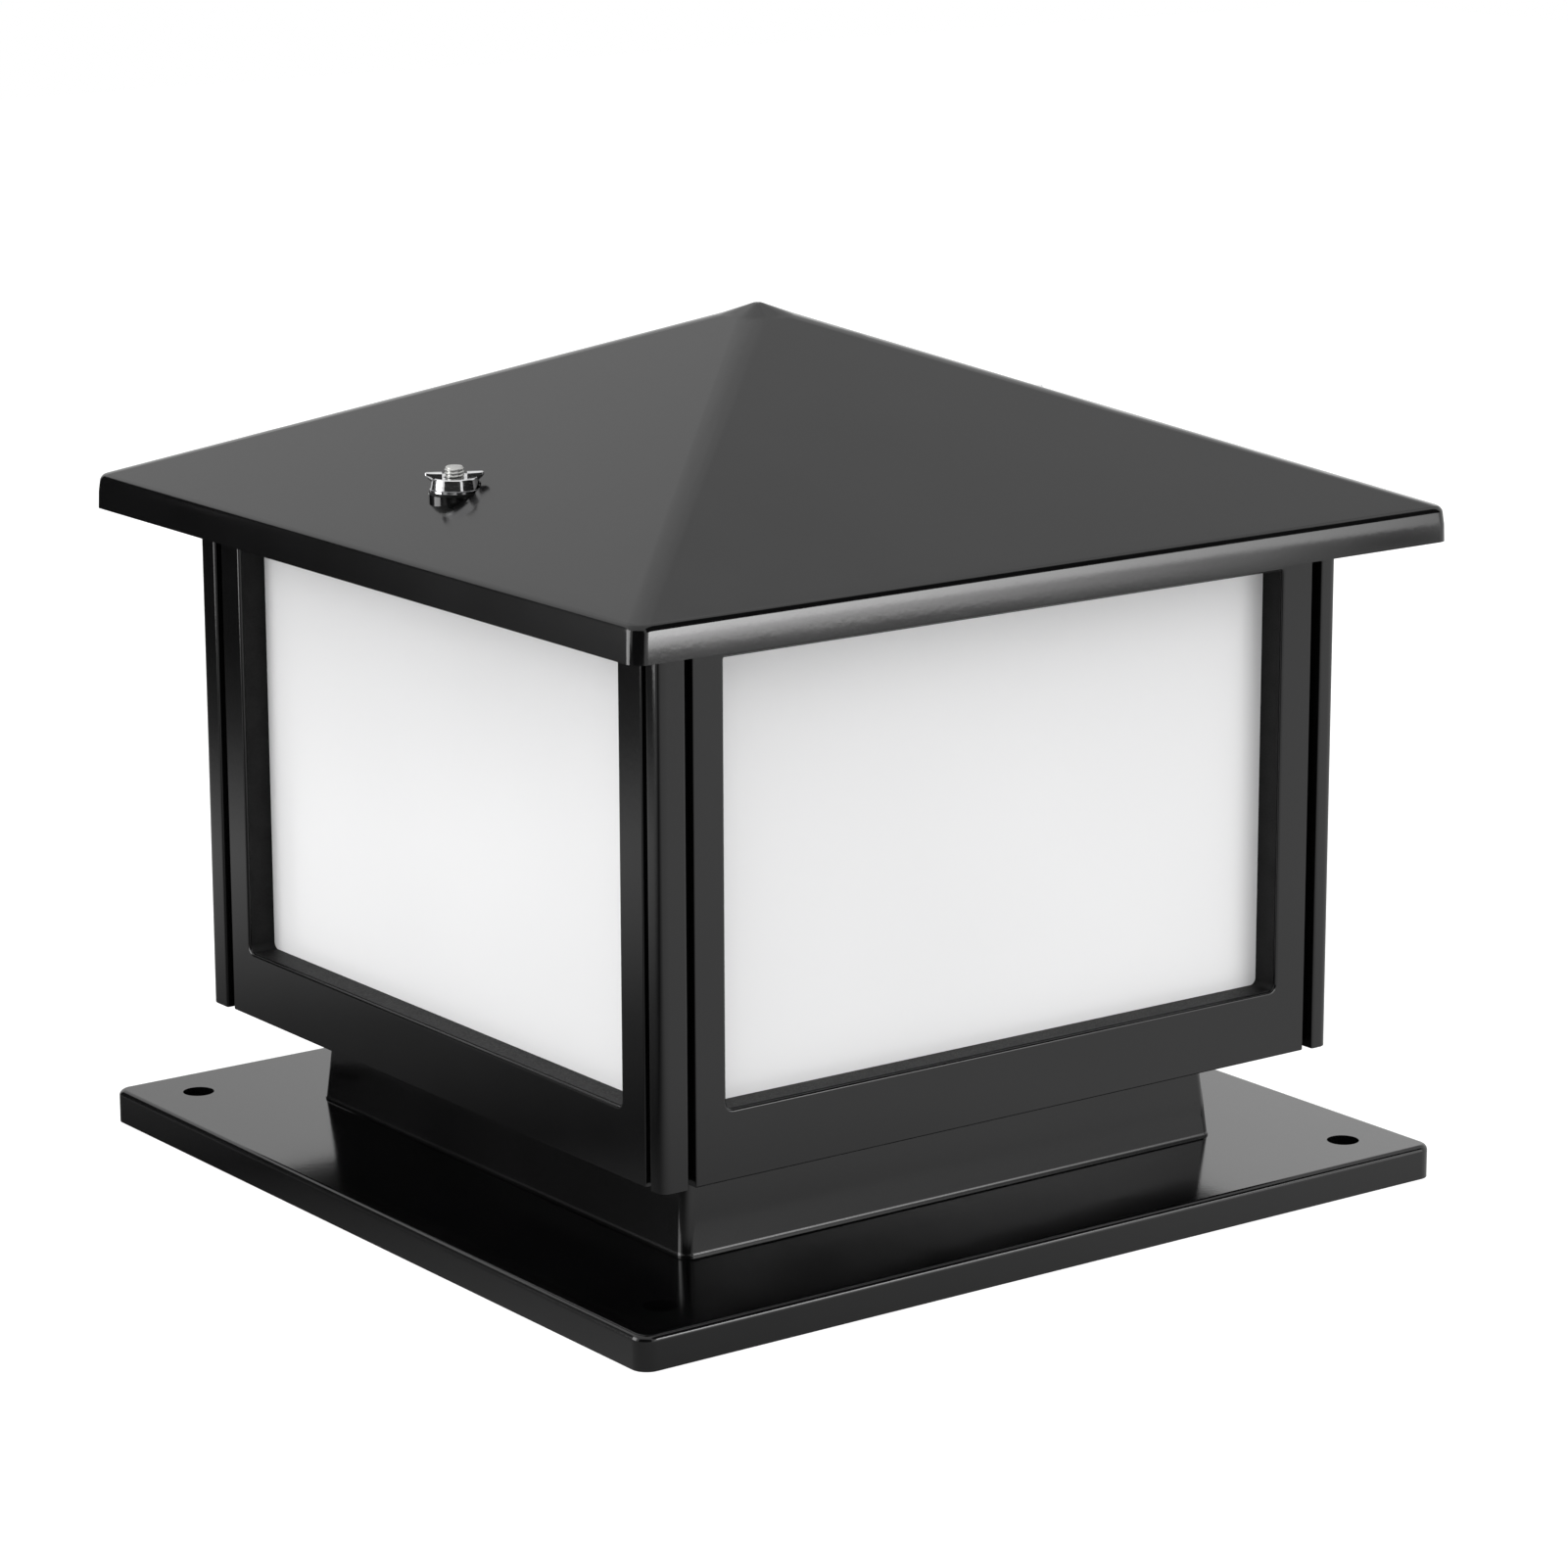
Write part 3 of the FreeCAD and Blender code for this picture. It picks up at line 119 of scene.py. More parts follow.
def shell(points, along=False, capped=False):
    # Vertices and faces of one closed surface. The signed volume, a sixth of the sum of p0 . (p1 x p2) over
    # its triangles, says whether the faces have to be turned to point outwards
    rows, columns = points.shape[:2]
    index = np.arange(rows * columns).reshape(rows, columns)
    caps = [index[0][::-1], index[-1]] if capped else []
    if along:
        index = np.vstack([index, index[:1]])
    index = np.hstack([index, index[:, :1]])
    quads = np.stack([index[:-1, :-1], index[:-1, 1:], index[1:, 1:], index[1:, :-1]], -1).reshape(-1, 4)
    vertices = points.reshape(-1, 3)
    fans = [np.stack([np.full(len(cap) - 2, cap[0]), cap[1:-1], cap[2:]], -1) for cap in caps]
    triangles = np.vstack([quads[:, [0, 1, 2]], quads[:, [0, 2, 3]], *fans])
    p0, p1, p2 = (vertices[triangles[:, k]] for k in range(3))
    faces = quads.tolist() + [cap.tolist() for cap in caps]
    if np.einsum("ij,ij->", p0, np.cross(p1, p2)) < 0:
        faces = [face[::-1] for face in faces]
    return vertices, faces


def moved(part, turn=0.0, shift=(0, 0, 0)):
    # A shell turned about the upright axis and then shifted
    vertices, faces = part
    c, s = math.cos(turn), math.sin(turn)
    return vertices @ np.array([[c, s, 0], [-s, c, 0], [0, 0, 1]]) + np.asarray(shift, float), faces


def piece(name, shells, body, slot, stands=(), sharp=38, weight=80):
    # One object from several shells, smooth except where faces meet at more than the sharp angle. Wide faces
    # weigh more in the blend, so that they stay flat beside their roundings
    counts = np.cumsum([0] + [len(vertices) for vertices, faces in shells])
    faces = [[k + start for k in face] for start, (_, part) in zip(counts, shells) for face in part]
    mesh = bpy.data.meshes.new(name)
    mesh.from_pydata(np.vstack([vertices for vertices, _ in shells]), [], faces)
    mesh.shade_smooth()
    mesh.set_sharp_from_angle(angle=math.radians(sharp))
    thing = bpy.data.objects.new(name, mesh)
    bpy.context.scene.collection.objects.link(thing)
    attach(thing, body)
    if stands:
        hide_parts(*stands)
    thing.data.materials.append(finishes[slot])
    weighted = thing.modifiers.new("weighted", "WEIGHTED_NORMAL")
    weighted.keep_sharp, weighted.weight = True, weight
    return thing


# Finishes: four shared effects, each a node group, and one material for each slot of the record

def newGroup(name):
    # A group that takes a place on the object, a grain size and two ends each for its colour and its roughness,
    # and gives a colour, a roughness and a height for the bump
    group = bpy.data.node_groups.new(name, "ShaderNodeTree")
    taken = {"Place": "Vector", "Size": "Float", "Dark": "Color", "Light": "Color", "Smooth": "Float", "Rough": "Float"}
    made = {"Colour": "Color", "Roughness": "Float", "Height": "Float"}
    for way, sockets in (("INPUT", taken), ("OUTPUT", made)):
        for label, kind in sockets.items():
            group.interface.new_socket(name=label, in_out=way, socket_type=f"NodeSocket{kind}")
    return group, group.nodes.new("NodeGroupInput"), group.nodes.new("NodeGroupOutput")


def node(tree, kind, **settings):
    made = tree.nodes.new(kind)
    for key, value in settings.items():
        if key in made.inputs:
            made.inputs[key].default_value = value
        else:
            setattr(made, key, value)
    return made


def maths(tree, operation, first, second=None):
    made = node(tree, "ShaderNodeMath", operation=operation)
    for socket, value in zip(made.inputs, (first, second)):
        if isinstance(value, (int, float)):
            socket.default_value = value
        elif value is not None:
            tree.links.new(value, socket)
    return made.outputs[0]


def noise(tree, place, size, detail=2.0, stretch=None):
    # Noise whose grain is size metres: its scale is one over the size
    if stretch:
        mapping = node(tree, "ShaderNodeMapping")
        mapping.inputs["Scale"].default_value = stretch
        tree.links.new(place, mapping.inputs["Vector"])
        place = mapping.outputs[0]
    made = node(tree, "ShaderNodeTexNoise", Detail=detail)
    tree.links.new(place, made.inputs["Vector"])
    tree.links.new(maths(tree, "DIVIDE", 1.0, size), made.inputs["Scale"])
    return made.outputs["Fac"]


def spread(tree, value, ends):
    # The middle of a noise, between its two ends, stretched to the whole of 0 to 1
    made = node(tree, "ShaderNodeMapRange")
    made.inputs["From Min"].default_value, made.inputs["From Max"].default_value = ends
    tree.links.new(value, made.inputs["Value"])
    return made.outputs[0]


def between(tree, share, first, second, colour=True):
    # first where share is 0, second where it is 1
    made = node(tree, "ShaderNodeMix", data_type="RGBA" if colour else "FLOAT")
    sockets = [s for s in made.inputs if s.enabled]
    for socket, value in zip(sockets, (share, first, second)):
        tree.links.new(value, socket)
    return [s for s in made.outputs if s.enabled][0]


def finishGroup(tree, given, out, tone, gloss, height):
    # Colour and roughness run between their two ends by tone and gloss
    tree.links.new(between(tree, tone, given.outputs["Dark"], given.outputs["Light"]), out.inputs["Colour"])
    rough = between(tree, gloss, given.outputs["Smooth"], given.outputs["Rough"], colour=False)
    tree.links.new(rough, out.inputs["Roughness"])
    tree.links.new(height, out.inputs["Height"])
    return tree


# In the four dictionaries below a size is a number of grains, and the ends are the part of a noise that is used

paintMarks = {
    "rippleDetail": 1.0,
    "cloud": 22.0,
    "cloudDetail": 3.0,
    "cloudEnds": (0.3, 0.7),
    "speck": 0.3,
    "speckDetail": 0.0,
    "speckEnds": (0.66, 0.8),
    "speckHeight": 0.25,
}


def sprayedPaint():
    # Flow marks of sprayed enamel: a fine ripple and specks for height, broad clouds for tone and gloss
    group, given, out = newGroup("sprayedPaint")
    place, size = given.outputs["Place"], given.outputs["Size"]
    m = paintMarks
    ripple = noise(group, place, size, m["rippleDetail"])
    cloud = noise(group, place, maths(group, "MULTIPLY", size, m["cloud"]), m["cloudDetail"])
    grain = noise(group, place, maths(group, "MULTIPLY", size, m["speck"]), m["speckDetail"])
    specks = maths(group, "MULTIPLY", spread(group, grain, m["speckEnds"]), m["speckHeight"])
    tone = spread(group, cloud, m["cloudEnds"])
    return finishGroup(group, given, out, tone, tone, maths(group, "ADD", ripple, specks))


metalMarks = {
    "linesDetail": 3.0,
    "linesStretch": (0.25, 0.25, 3.0),
    "linesEnds": (0.35, 0.65),
    "cloud": 6.0,
    "toneEnds": (0.15, 0.4),
}


def drawnMetal():
    # Fine lines round the upright axis: noise squeezed in height, over slow clouds
    group, given, out = newGroup("drawnMetal")
    place, size = given.outputs["Place"], given.outputs["Size"]
    m = metalMarks
    lines = noise(group, place, size, m["linesDetail"], stretch=m["linesStretch"])
    cloud = noise(group, place, maths(group, "MULTIPLY", size, m["cloud"]))
    tone = spread(group, maths(group, "MULTIPLY", lines, cloud), m["toneEnds"])
    return finishGroup(group, given, out, tone, spread(group, lines, m["linesEnds"]), lines)


skinMarks = {
    "grainEnds": (0.35, 0.65),
    "cloud": 15.0,
    "cloudEnds": (0.3, 0.7),
}


def mouldedSkin():
    # Even grain of a mould wall with slow changes of tone
    group, given, out = newGroup("mouldedSkin")
    place, size = given.outputs["Place"], given.outputs["Size"]
    m = skinMarks
    grain = noise(group, place, size)
    cloud = noise(group, place, maths(group, "MULTIPLY", size, m["cloud"]))
    tone = spread(group, cloud, m["cloudEnds"])
    return finishGroup(group, given, out, tone, spread(group, grain, m["grainEnds"]), grain)


milkMarks = {
    "detail": 1.0,
    "skin": 0.05,
    "ends": (0.3, 0.7),
}


def milkySheet():
    # Opal sheet: slow clouds in the milk and almost no height
    group, given, out = newGroup("milkySheet")
    place, size = given.outputs["Place"], given.outputs["Size"]
    m = milkMarks
    cloud = noise(group, place, size, m["detail"])
    skin = noise(group, place, maths(group, "MULTIPLY", size, m["skin"]), m["detail"])
    return finishGroup(group, given, out, spread(group, cloud, m["ends"]), spread(group, skin, m["ends"]), skin)


# Effect, grain size in mm, dark and light colour, smooth and rough, bump depth in mm, then plain shader values
finishTable = {
    "gloss_black": ("paint", 1.6, (0.0017, 0.0017, 0.0018), (0.0028, 0.0028, 0.003), 0.1, 0.14, 0.008, {}),
    "black_inner": ("paint", 1.2, (0.006, 0.006, 0.006), (0.011, 0.011, 0.011), 0.32, 0.42, 0.02, {}),
    "opal_panel": ("milk", 90, (0.87, 0.87, 0.875), (0.89, 0.89, 0.895), 0.16, 0.22, 0.002, {}),
    "zinc_steel": ("metal", 0.8, (0.46, 0.46, 0.45), (0.66, 0.66, 0.64), 0.25, 0.4, 0.01, {"Metallic": 1.0}),
    "bright_nut": ("metal", 0.9, (0.62, 0.62, 0.63), (0.8, 0.8, 0.81), 0.08, 0.16, 0.004, {"Metallic": 1.0}),
    "black_rubber": ("skin", 0.5, (0.004, 0.004, 0.004), (0.008, 0.008, 0.008), 0.5, 0.65, 0.03,
                     {"Specular IOR Level": 0.2}),
    "white_ceramic": ("skin", 1.2, (0.72, 0.71, 0.67), (0.8, 0.79, 0.75), 0.12, 0.2, 0.006, {}),
    "brass_parts": ("metal", 0.8, (0.55, 0.38, 0.15), (0.78, 0.58, 0.28), 0.2, 0.32, 0.008, {"Metallic": 1.0}),
    "lamp_cap_metal": ("metal", 0.8, (0.6, 0.59, 0.57), (0.76, 0.75, 0.73), 0.18, 0.3, 0.008, {"Metallic": 1.0}),
    "lamp_white": ("skin", 0.7, (0.78, 0.78, 0.77), (0.86, 0.86, 0.85), 0.3, 0.42, 0.01, {}),
    "lamp_opal": ("milk", 40, (0.82, 0.82, 0.81), (0.87, 0.87, 0.86), 0.35, 0.45, 0.002,
                  {"Subsurface Weight": 0.15, "Subsurface Scale": 0.004}),
    "lamp_circuit": ("skin", 0.8, (0.74, 0.76, 0.76), (0.82, 0.83, 0.83), 0.3, 0.45, 0.01, {}),
    "black_nylon": ("skin", 0.45, (0.011, 0.011, 0.012), (0.022, 0.022, 0.023), 0.38, 0.52, 0.02, {}),
    "cream_block": ("skin", 0.7, (0.68, 0.65, 0.55), (0.77, 0.74, 0.65), 0.38, 0.5, 0.012, {}),
    "brown_wire": ("skin", 0.6, (0.11, 0.045, 0.02), (0.17, 0.075, 0.035), 0.35, 0.45, 0.01, {}),
    "blue_wire": ("skin", 0.6, (0.025, 0.13, 0.42), (0.045, 0.18, 0.52), 0.35, 0.45, 0.01, {}),
    "earth_wire": ("skin", 0.6, (0.1, 0.3, 0.03), (0.16, 0.4, 0.05), 0.35, 0.45, 0.01, {}),
}


def makeFinish(slot, groups):
    kind, grain, dark, light, smooth, rough, depth, plain = finishTable[slot]
    material = bpy.data.materials.new(slot)
    material.use_nodes = True
    tree = material.node_tree
    shader = tree.nodes["Principled BSDF"]
    place = tree.nodes.new("ShaderNodeTexCoord")
    skin = tree.nodes.new("ShaderNodeGroup")
    skin.node_tree = groups[kind]
    bump = tree.nodes.new("ShaderNodeBump")
    values = {"Size": grain * mm, "Dark": (*dark, 1), "Light": (*light, 1), "Smooth": smooth, "Rough": rough}
    for label, value in values.items():
        skin.inputs[label].default_value = value
    bump.inputs["Distance"].default_value = depth * mm
    tree.links.new(place.outputs["Object"], skin.inputs["Place"])
    tree.links.new(skin.outputs["Colour"], shader.inputs["Base Color"])
    tree.links.new(skin.outputs["Roughness"], shader.inputs["Roughness"])
    tree.links.new(skin.outputs["Height"], bump.inputs["Height"])
    tree.links.new(bump.outputs["Normal"], shader.inputs["Normal"])
    for label, value in plain.items():
        shader.inputs[label].default_value = value
    return material


groups = {"paint": sprayedPaint(), "metal": drawnMetal(), "skin": mouldedSkin(), "milk": milkySheet()}
finishes = {slot: makeFinish(slot, groups) for slot in finishTable}
print("finishes made:", len(finishes))


# Window frames

frameSizes = {
    "leftEnd": 113.8 * mm,
    "rightEnd": 116.6 * mm,
    "windowLeft": 103 * mm,
    "windowRight": 104.8 * mm,
    "sill": 21 * mm,
    "head": 9 * mm,
    "lowCorner": 2.4 * mm,
    "topCorner": 0.8 * mm,
    "proud": 0.8 * mm,
    "plateDepth": 8.3 * mm,
    "lap": 3 * mm,
    "rim": 3.5 * mm,
    "windowRound": 0.9 * mm,
    "outerRound": 0.5 * mm,
    "endCorner": 0.3 * mm,
    "lining": 0.25 * mm,
    "liningInset": 1 * mm,
    "roundSteps": 5,
}


def windowFrame(side, quarters):
    # Rounded rectangles from the opening's edge, over the face, round the outside and back along the rim.
    # A quarter circle of radius r turns each front edge: offset r (1 - cos a), depth r (1 - sin a)
    low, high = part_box("frame_front")
    s = frameSizes
    front, behind = s["proud"] - low.y, -high.y
    back = front - s["proud"] - s["plateDepth"]
    window = np.array([-s["windowLeft"], s["windowRight"], low.z + s["sill"], high.z - s["head"]])
    outer = np.array([-s["leftEnd"], s["rightEnd"], low.z, high.z])
    outward = np.array([-1, 1, -1, 1])

    def ring(sides, grow, level, upper=s["endCorner"], lower=s["endCorner"]):
        return [*(sides + outward * grow), upper, lower, level]

    def windowRing(grow, level):
        return ring(window, grow, level, s["topCorner"] + grow, s["lowCorner"] + grow)

    turn = np.linspace(0, np.pi / 2, s["roundSteps"])
    inner, rim = s["windowRound"], s["outerRound"]
    rings = [windowRing(0, back)]
    rings += [windowRing(inner * (1 - math.cos(a)), front - inner * (1 - math.sin(a))) for a in turn]
    rings += [ring(outer, -rim * (1 - math.sin(a)), front - rim * (1 - math.cos(a))) for a in turn]
    rings += [ring(outer, 0, back)]
    rings += [ring(window, s["lap"] + s["rim"], level) for level in (back, behind)]
    rings += [ring(window, s["lap"], level) for level in (behind, back)]
    x, up, depth = np.moveaxis(ringStack(rings), -1, 0)
    made = shell(np.stack([x, -depth, up], -1), along=True)
    name = f"frame_{side}"
    piece(f"window_{name}", [moved(made, quarters * math.pi / 2)], "housing", "gloss_black", [name])

    # Thin strip that lines the opening, a closed loop of four rings
    thick, edge = -s["lining"], front - s["liningInset"]
    loop = [windowRing(0, back), windowRing(thick, back), windowRing(thick, edge), windowRing(0, edge)]
    x, up, depth = np.moveaxis(ringStack(loop), -1, 0)
    strip = shell(np.stack([x, -depth, up], -1), along=True)
    piece(f"lining_{side}", [moved(strip, quarters * math.pi / 2)], "housing", "black_rubber")


# Corner posts

postSizes = {
    "barWide": 9.3 * mm,
    "grooveNarrow": 2.9 * mm,
    "barNarrow": 6.3 * mm,
    "grooveWide": 3.1 * mm,
    "floor": 118 * mm,
    "insideFace": 116.2 * mm,
    "corner": 4.6 * mm,
    "edge": 0.9 * mm,
    "heel": 0.35 * mm,
    "endInset": 0.2 * mm,
    "curveSteps": 7,
}


def cornerPost(name, quarters):
    # The post's section, softened at its corners, carried upright, a little smaller at both ends. One face has
    # the wide bar beside the narrow groove and the other has the narrow bar beside the wide groove
    low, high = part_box("post_rear_right")
    s = postSizes
    far, near, face, floor = high.x, low.x, s["insideFace"], s["floor"]
    eastBar, northBar = far - s["barNarrow"], far - s["barWide"]
    eastEnd, northEnd = eastBar - s["grooveWide"], northBar - s["grooveNarrow"]
    outline = [
        (near, near), (face, near), (face, eastEnd), (floor, eastEnd), (floor, eastBar), (far, eastBar), (far, far),
        (northBar, far), (northBar, floor), (northEnd, floor), (northEnd, face), (near, face),
    ]
    heel, edge = s["heel"], s["edge"]
    reach = [heel, heel, heel, heel, heel, edge, s["corner"], edge, heel, heel, heel, heel]
    section = softened(outline, reach, s["curveSteps"])
    small = inset(section, s["endInset"])
    levels = [low.z, low.z + s["endInset"], high.z - s["endInset"], high.z]
    rows = [np.column_stack([plan, np.full(len(plan), level)])
            for plan, level in zip((small, section, section, small), levels)]
    made = shell(np.array(rows), capped=True)
    return piece(f"bar_{name}", [moved(made, quarters * math.pi / 2)], "housing", "gloss_black", [name])


# Neck

neckSizes = {
    "flare": 2.7 * mm,
    "corner": 3.6 * mm,
    "wall": 3.5 * mm,
    "flange": 5 * mm,
    "mouth": 78 * mm,
    "beadReach": 0.25 * mm,
    "beadHeight": 1 * mm,
    "beadFlat": 0.6 * mm,
    "beadSoft": 0.4 * mm,
    "sharp": 0.3 * mm,
}


def neckShell():
    # A closed section carried round a square: bead at the foot, leaning wall, and a flange at each end inside
    low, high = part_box("neck")
    s = neckSizes
    foot, top = high.x, high.x - s["flare"]
    wall = [
        (foot + s["beadReach"], low.z), (foot + s["beadReach"], low.z + s["beadFlat"]),
        (foot, low.z + s["beadHeight"]), (top, high.z),
    ]
    wall = softened(wall, s["beadSoft"], closed=False)
    inside = [
        (s["mouth"], high.z), (s["mouth"], high.z - s["flange"]), (top - s["wall"], high.z - s["flange"]),
        (foot - s["wall"], low.z + s["flange"]), (s["mouth"], low.z + s["flange"]), (s["mouth"], low.z),
    ]
    rows = [(half, s["corner"], level) for half, level in wall]
    rows += [(half, s["sharp"], level) for half, level in inside]
    return piece("neck_casting", [shell(squareStack(rows), along=True)], "housing", "gloss_black", ["neck"])


# Studs, wing nuts and their threads

threadSizes = {
    "radius": 3 * mm,
    "pitch": 1 * mm,
    "depth": 0.42 * mm,
    "bevel": 0.7 * mm,
    "rightShort": 1.9 * mm,
    "rowsPerPitch": 8,
    "steps": 40,
    "sharpAngle": 60,
}


def threadedRod(foot, top):
    # Radius falls from crest to root and back once a pitch, and a full turn shifts it by one pitch:
    # r = radius - depth |2 frac(z / pitch - a / turn) - 1|, and it closes in over the bevel at the top
    t = threadSizes
    height = np.linspace(foot, top, int((top - foot) / t["pitch"] * t["rowsPerPitch"]) + 1)[:, None]
    turn = np.linspace(0, 2 * np.pi, t["steps"], endpoint=False)[None, :]
    phase = np.mod(height / t["pitch"] - turn / (2 * np.pi), 1)
    wave = t["radius"] - t["depth"] * np.abs(2 * phase - 1)
    limit = t["radius"] - np.clip(height - (top - t["bevel"]), 0, None)
    reach = np.minimum(wave, limit)
    return np.stack([reach * np.cos(turn), reach * np.sin(turn), height + 0 * turn], -1)


def nutPlace(side):
    # Middle of the washer under the nut, which is the stud's axis
    low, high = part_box(f"{side}_washer")
    return (low + high) / 2


def roofStuds():
    # Two rods from one foot level. The right one is shorter, so that the roof hides it in the photo's view
    low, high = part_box("roof_studs")
    t = threadSizes
    rods = []
    for side, top in (("left", high.z), ("right", high.z - t["rightShort"])):
        rod = shell(threadedRod(low.z, top), capped=True)
        rods.append(moved(rod, shift=(nutPlace(side).x, nutPlace(side).y, 0)))
    return piece("threaded_studs", rods, "housing", "zinc_steel", ["roof_studs"], sharp=t["sharpAngle"])


wingSizes = {
    "hubFoot": 7.2 * mm,
    "hubTop": 6.6 * mm,
    "hubHeight": 3.6 * mm,
    "bore": 3.02 * mm,
    "hubSoft": 0.45 * mm,
    "start": 3.7 * mm,
    "reach": 8.8 * mm,
    "top": 5.1 * mm,
    "tipLow": 4 * mm,
    "rootLow": 0.8 * mm,
    "levelShare": 0.3,
    "closeShare": 0.86,
    "thick": 2.4 * mm,
    "tipThick": 1.7 * mm,
    "tipShare": 0.02,  # least share of the squared thickness at the very tip
    "fullness": 0.55,  # power of the section's sine and cosine, 1 for an ellipse and less for a fuller shape
    "lastTurn": 0.97,
    "rows": 9,
    "steps": 28,
    "sharpAngle": 50,
    "leftTurn": -28,
    "rightTurn": 40,
}


def wing(sizes):
    # Along share s from hub to tip the section is a superellipse: half height and half thickness change with s
    # and close in past closeShare, as the square root of one minus the square of the way from there to the tip
    close, level = sizes["closeShare"], sizes["levelShare"]
    bend = close + (1 - close) * np.sin(np.linspace(0, sizes["lastTurn"], sizes["rows"]) * np.pi / 2)
    s = np.concatenate([np.linspace(0, close, sizes["rows"]), bend[1:]])[:, None]
    along = sizes["start"] + s * (sizes["reach"] - sizes["start"])
    closing = np.sqrt(np.clip(1 - ((s - close) / (1 - close)).clip(0) ** 2, sizes["tipShare"], 1))
    low = sizes["rootLow"] + (sizes["tipLow"] - sizes["rootLow"]) * ((s - level) / (1 - level)).clip(0)
    middle, half = (low + sizes["top"]) / 2, (sizes["top"] - low) / 2 * closing
    thick = (sizes["thick"] + (sizes["tipThick"] - sizes["thick"]) * s) / 2 * closing
    turn = np.linspace(0, 2 * np.pi, sizes["steps"], endpoint=False)[None, :]
    across = thick * np.sign(np.cos(turn)) * np.abs(np.cos(turn)) ** sizes["fullness"]
    up = middle + half * np.sign(np.sin(turn)) * np.abs(np.sin(turn)) ** sizes["fullness"]
    return np.stack([along + 0 * turn, across + 0 * up, up], -1)


def wingNut(side):
    # A hub turned round the stud's axis and two wings half a turn apart
    w = wingSizes
    body = f"{side}_nut"
    low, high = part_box(f"{side}_wing_nut")
    profile = softened([
        (w["bore"], 0), (w["hubFoot"], 0), (w["hubTop"], w["hubHeight"]), (w["bore"], w["hubHeight"]),
    ], w["hubSoft"])
    parts = [shell(turnedRows(profile), along=True)]
    parts += [moved(shell(wing(w), capped=True), turn) for turn in (0, math.pi)]
    place = (nutPlace(side).x, nutPlace(side).y, low.z)
    turn = math.radians(w[f"{side}Turn"])
    return piece(f"{side}_nut_casting", [moved(part, turn, place) for part in parts], body, "bright_nut",
                 [f"{side}_wing_nut"], sharp=w["sharpAngle"])


# Screw cap of the lamp

capSizes = {
    "pitch": 3.6286 * mm,
    "depth": 0.9 * mm,
    "plain": 4 * mm,
    "coneHeight": 2.5 * mm,
    "coneFoot": 4.7 * mm,
    "coneEdge": 5.6 * mm,
    "edgeHeight": 0.1 * mm,
    "coneInset": 1.2 * mm,
    "coneGap": 0.5 * mm,
    "leastFade": 0.2,
    "rows": 110,
    "steps": 72,
    "sharpAngle": 55,
}


def lampCap():
    # Rolled thread over a cone: radius is the crest less half the depth times one plus the cosine of the phase,
    # and the thread fades in at the cone and out over the plain collar at the top
    low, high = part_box("lamp_cap")
    c = capSizes
    crest, foot, top = high.x, low.z + c["coneHeight"], high.z
    height = np.linspace(foot, top, c["rows"])[:, None]
    turn = np.linspace(0, 2 * np.pi, c["steps"], endpoint=False)[None, :]
    phase = 2 * np.pi * height / c["pitch"] - turn
    fadeOut = np.clip((top - c["plain"] - height) / c["pitch"], 0, 1)
    fadeIn = np.clip((height - foot) / c["pitch"], c["leastFade"], 1)
    radius = crest - c["depth"] / 2 * (1 + np.cos(phase)) * (fadeOut * fadeIn)
    thread = np.stack([radius * np.cos(turn), radius * np.sin(turn), height + 0 * turn], -1)
    cone = turnedRows([
        (c["coneFoot"], low.z), (c["coneEdge"], low.z + c["edgeHeight"]), (crest - c["coneInset"], foot - c["coneGap"]),
    ], c["steps"])
    rows = np.concatenate([cone, thread])
    return piece("rolled_cap", [shell(rows, capped=True)], "lamp", "lamp_cap_metal", ["lamp_cap"],
                 sharp=c["sharpAngle"])


# Roof

roofSizes = {
    "mergeDigits": 7,
    "sharpAngle": 25,
    "weight": 55,
    "edgeLevel": 211.9 * mm,
    "edgeReach": 140 * mm,
    "edgeRound": 1.7 * mm,
    "edgeSteps": 4,
    "play": 0.05 * mm,
}


def roofCasting():
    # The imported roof's surface, its points merged, so that the fascia's two bands shade as one swell
    r = roofSizes
    source = nodes["roof_cap"]
    points = np.empty(len(source.data.vertices) * 3)
    source.data.vertices.foreach_get("co", points)
    corners = np.empty(len(source.data.loops), int)
    source.data.loops.foreach_get("vertex_index", corners)
    place = np.array(source.matrix_world)
    points = points.reshape(-1, 3) @ place[:3, :3].T + place[:3, 3]
    spots, same = np.unique(np.round(points, r["mergeDigits"]), axis=0, return_inverse=True)
    faces = same.reshape(-1)[corners].reshape(-1, 3)
    whole = (faces[:, 0] != faces[:, 1]) & (faces[:, 1] != faces[:, 2]) & (faces[:, 2] != faces[:, 0])
    roof = piece("roof_casting", [(spots, faces[whole].tolist())], "roof", "gloss_black", ["roof_cap"],
                 sharp=r["sharpAngle"], weight=r["weight"])

    # The edge between slope and fascia is rounded: both its ends lie at the edge's level and far out
    ends = np.empty(len(roof.data.edges) * 2, int)
    roof.data.edges.foreach_get("vertices", ends)
    ends = spots[ends].reshape(-1, 2, 3)
    atLevel = np.abs(ends[:, :, 2] - r["edgeLevel"]) < r["play"]
    farOut = np.abs(ends[:, :, :2]).max(2) > r["edgeReach"]
    chosen = (atLevel & farOut).all(1)
    share = roof.data.attributes.new("bevel_weight_edge", "FLOAT", "EDGE")
    share.data.foreach_set("value", chosen.astype(np.float32))
    rounded = roof.modifiers.new("rounded", "BEVEL")
    rounded.limit_method, rounded.width, rounded.segments = "WEIGHT", r["edgeRound"], r["edgeSteps"]
    roof.modifiers.move(1, 0)  # before the weighted normals
    print("rounded edges of the roof:", int(chosen.sum()))


# Roof gasket

gasketSizes = {
    "corner": 4 * mm,
    "leastCorner": 0.3 * mm,
    "width": 4 * mm,
    "crown": 0.9 * mm,
    "rows": 9,
}


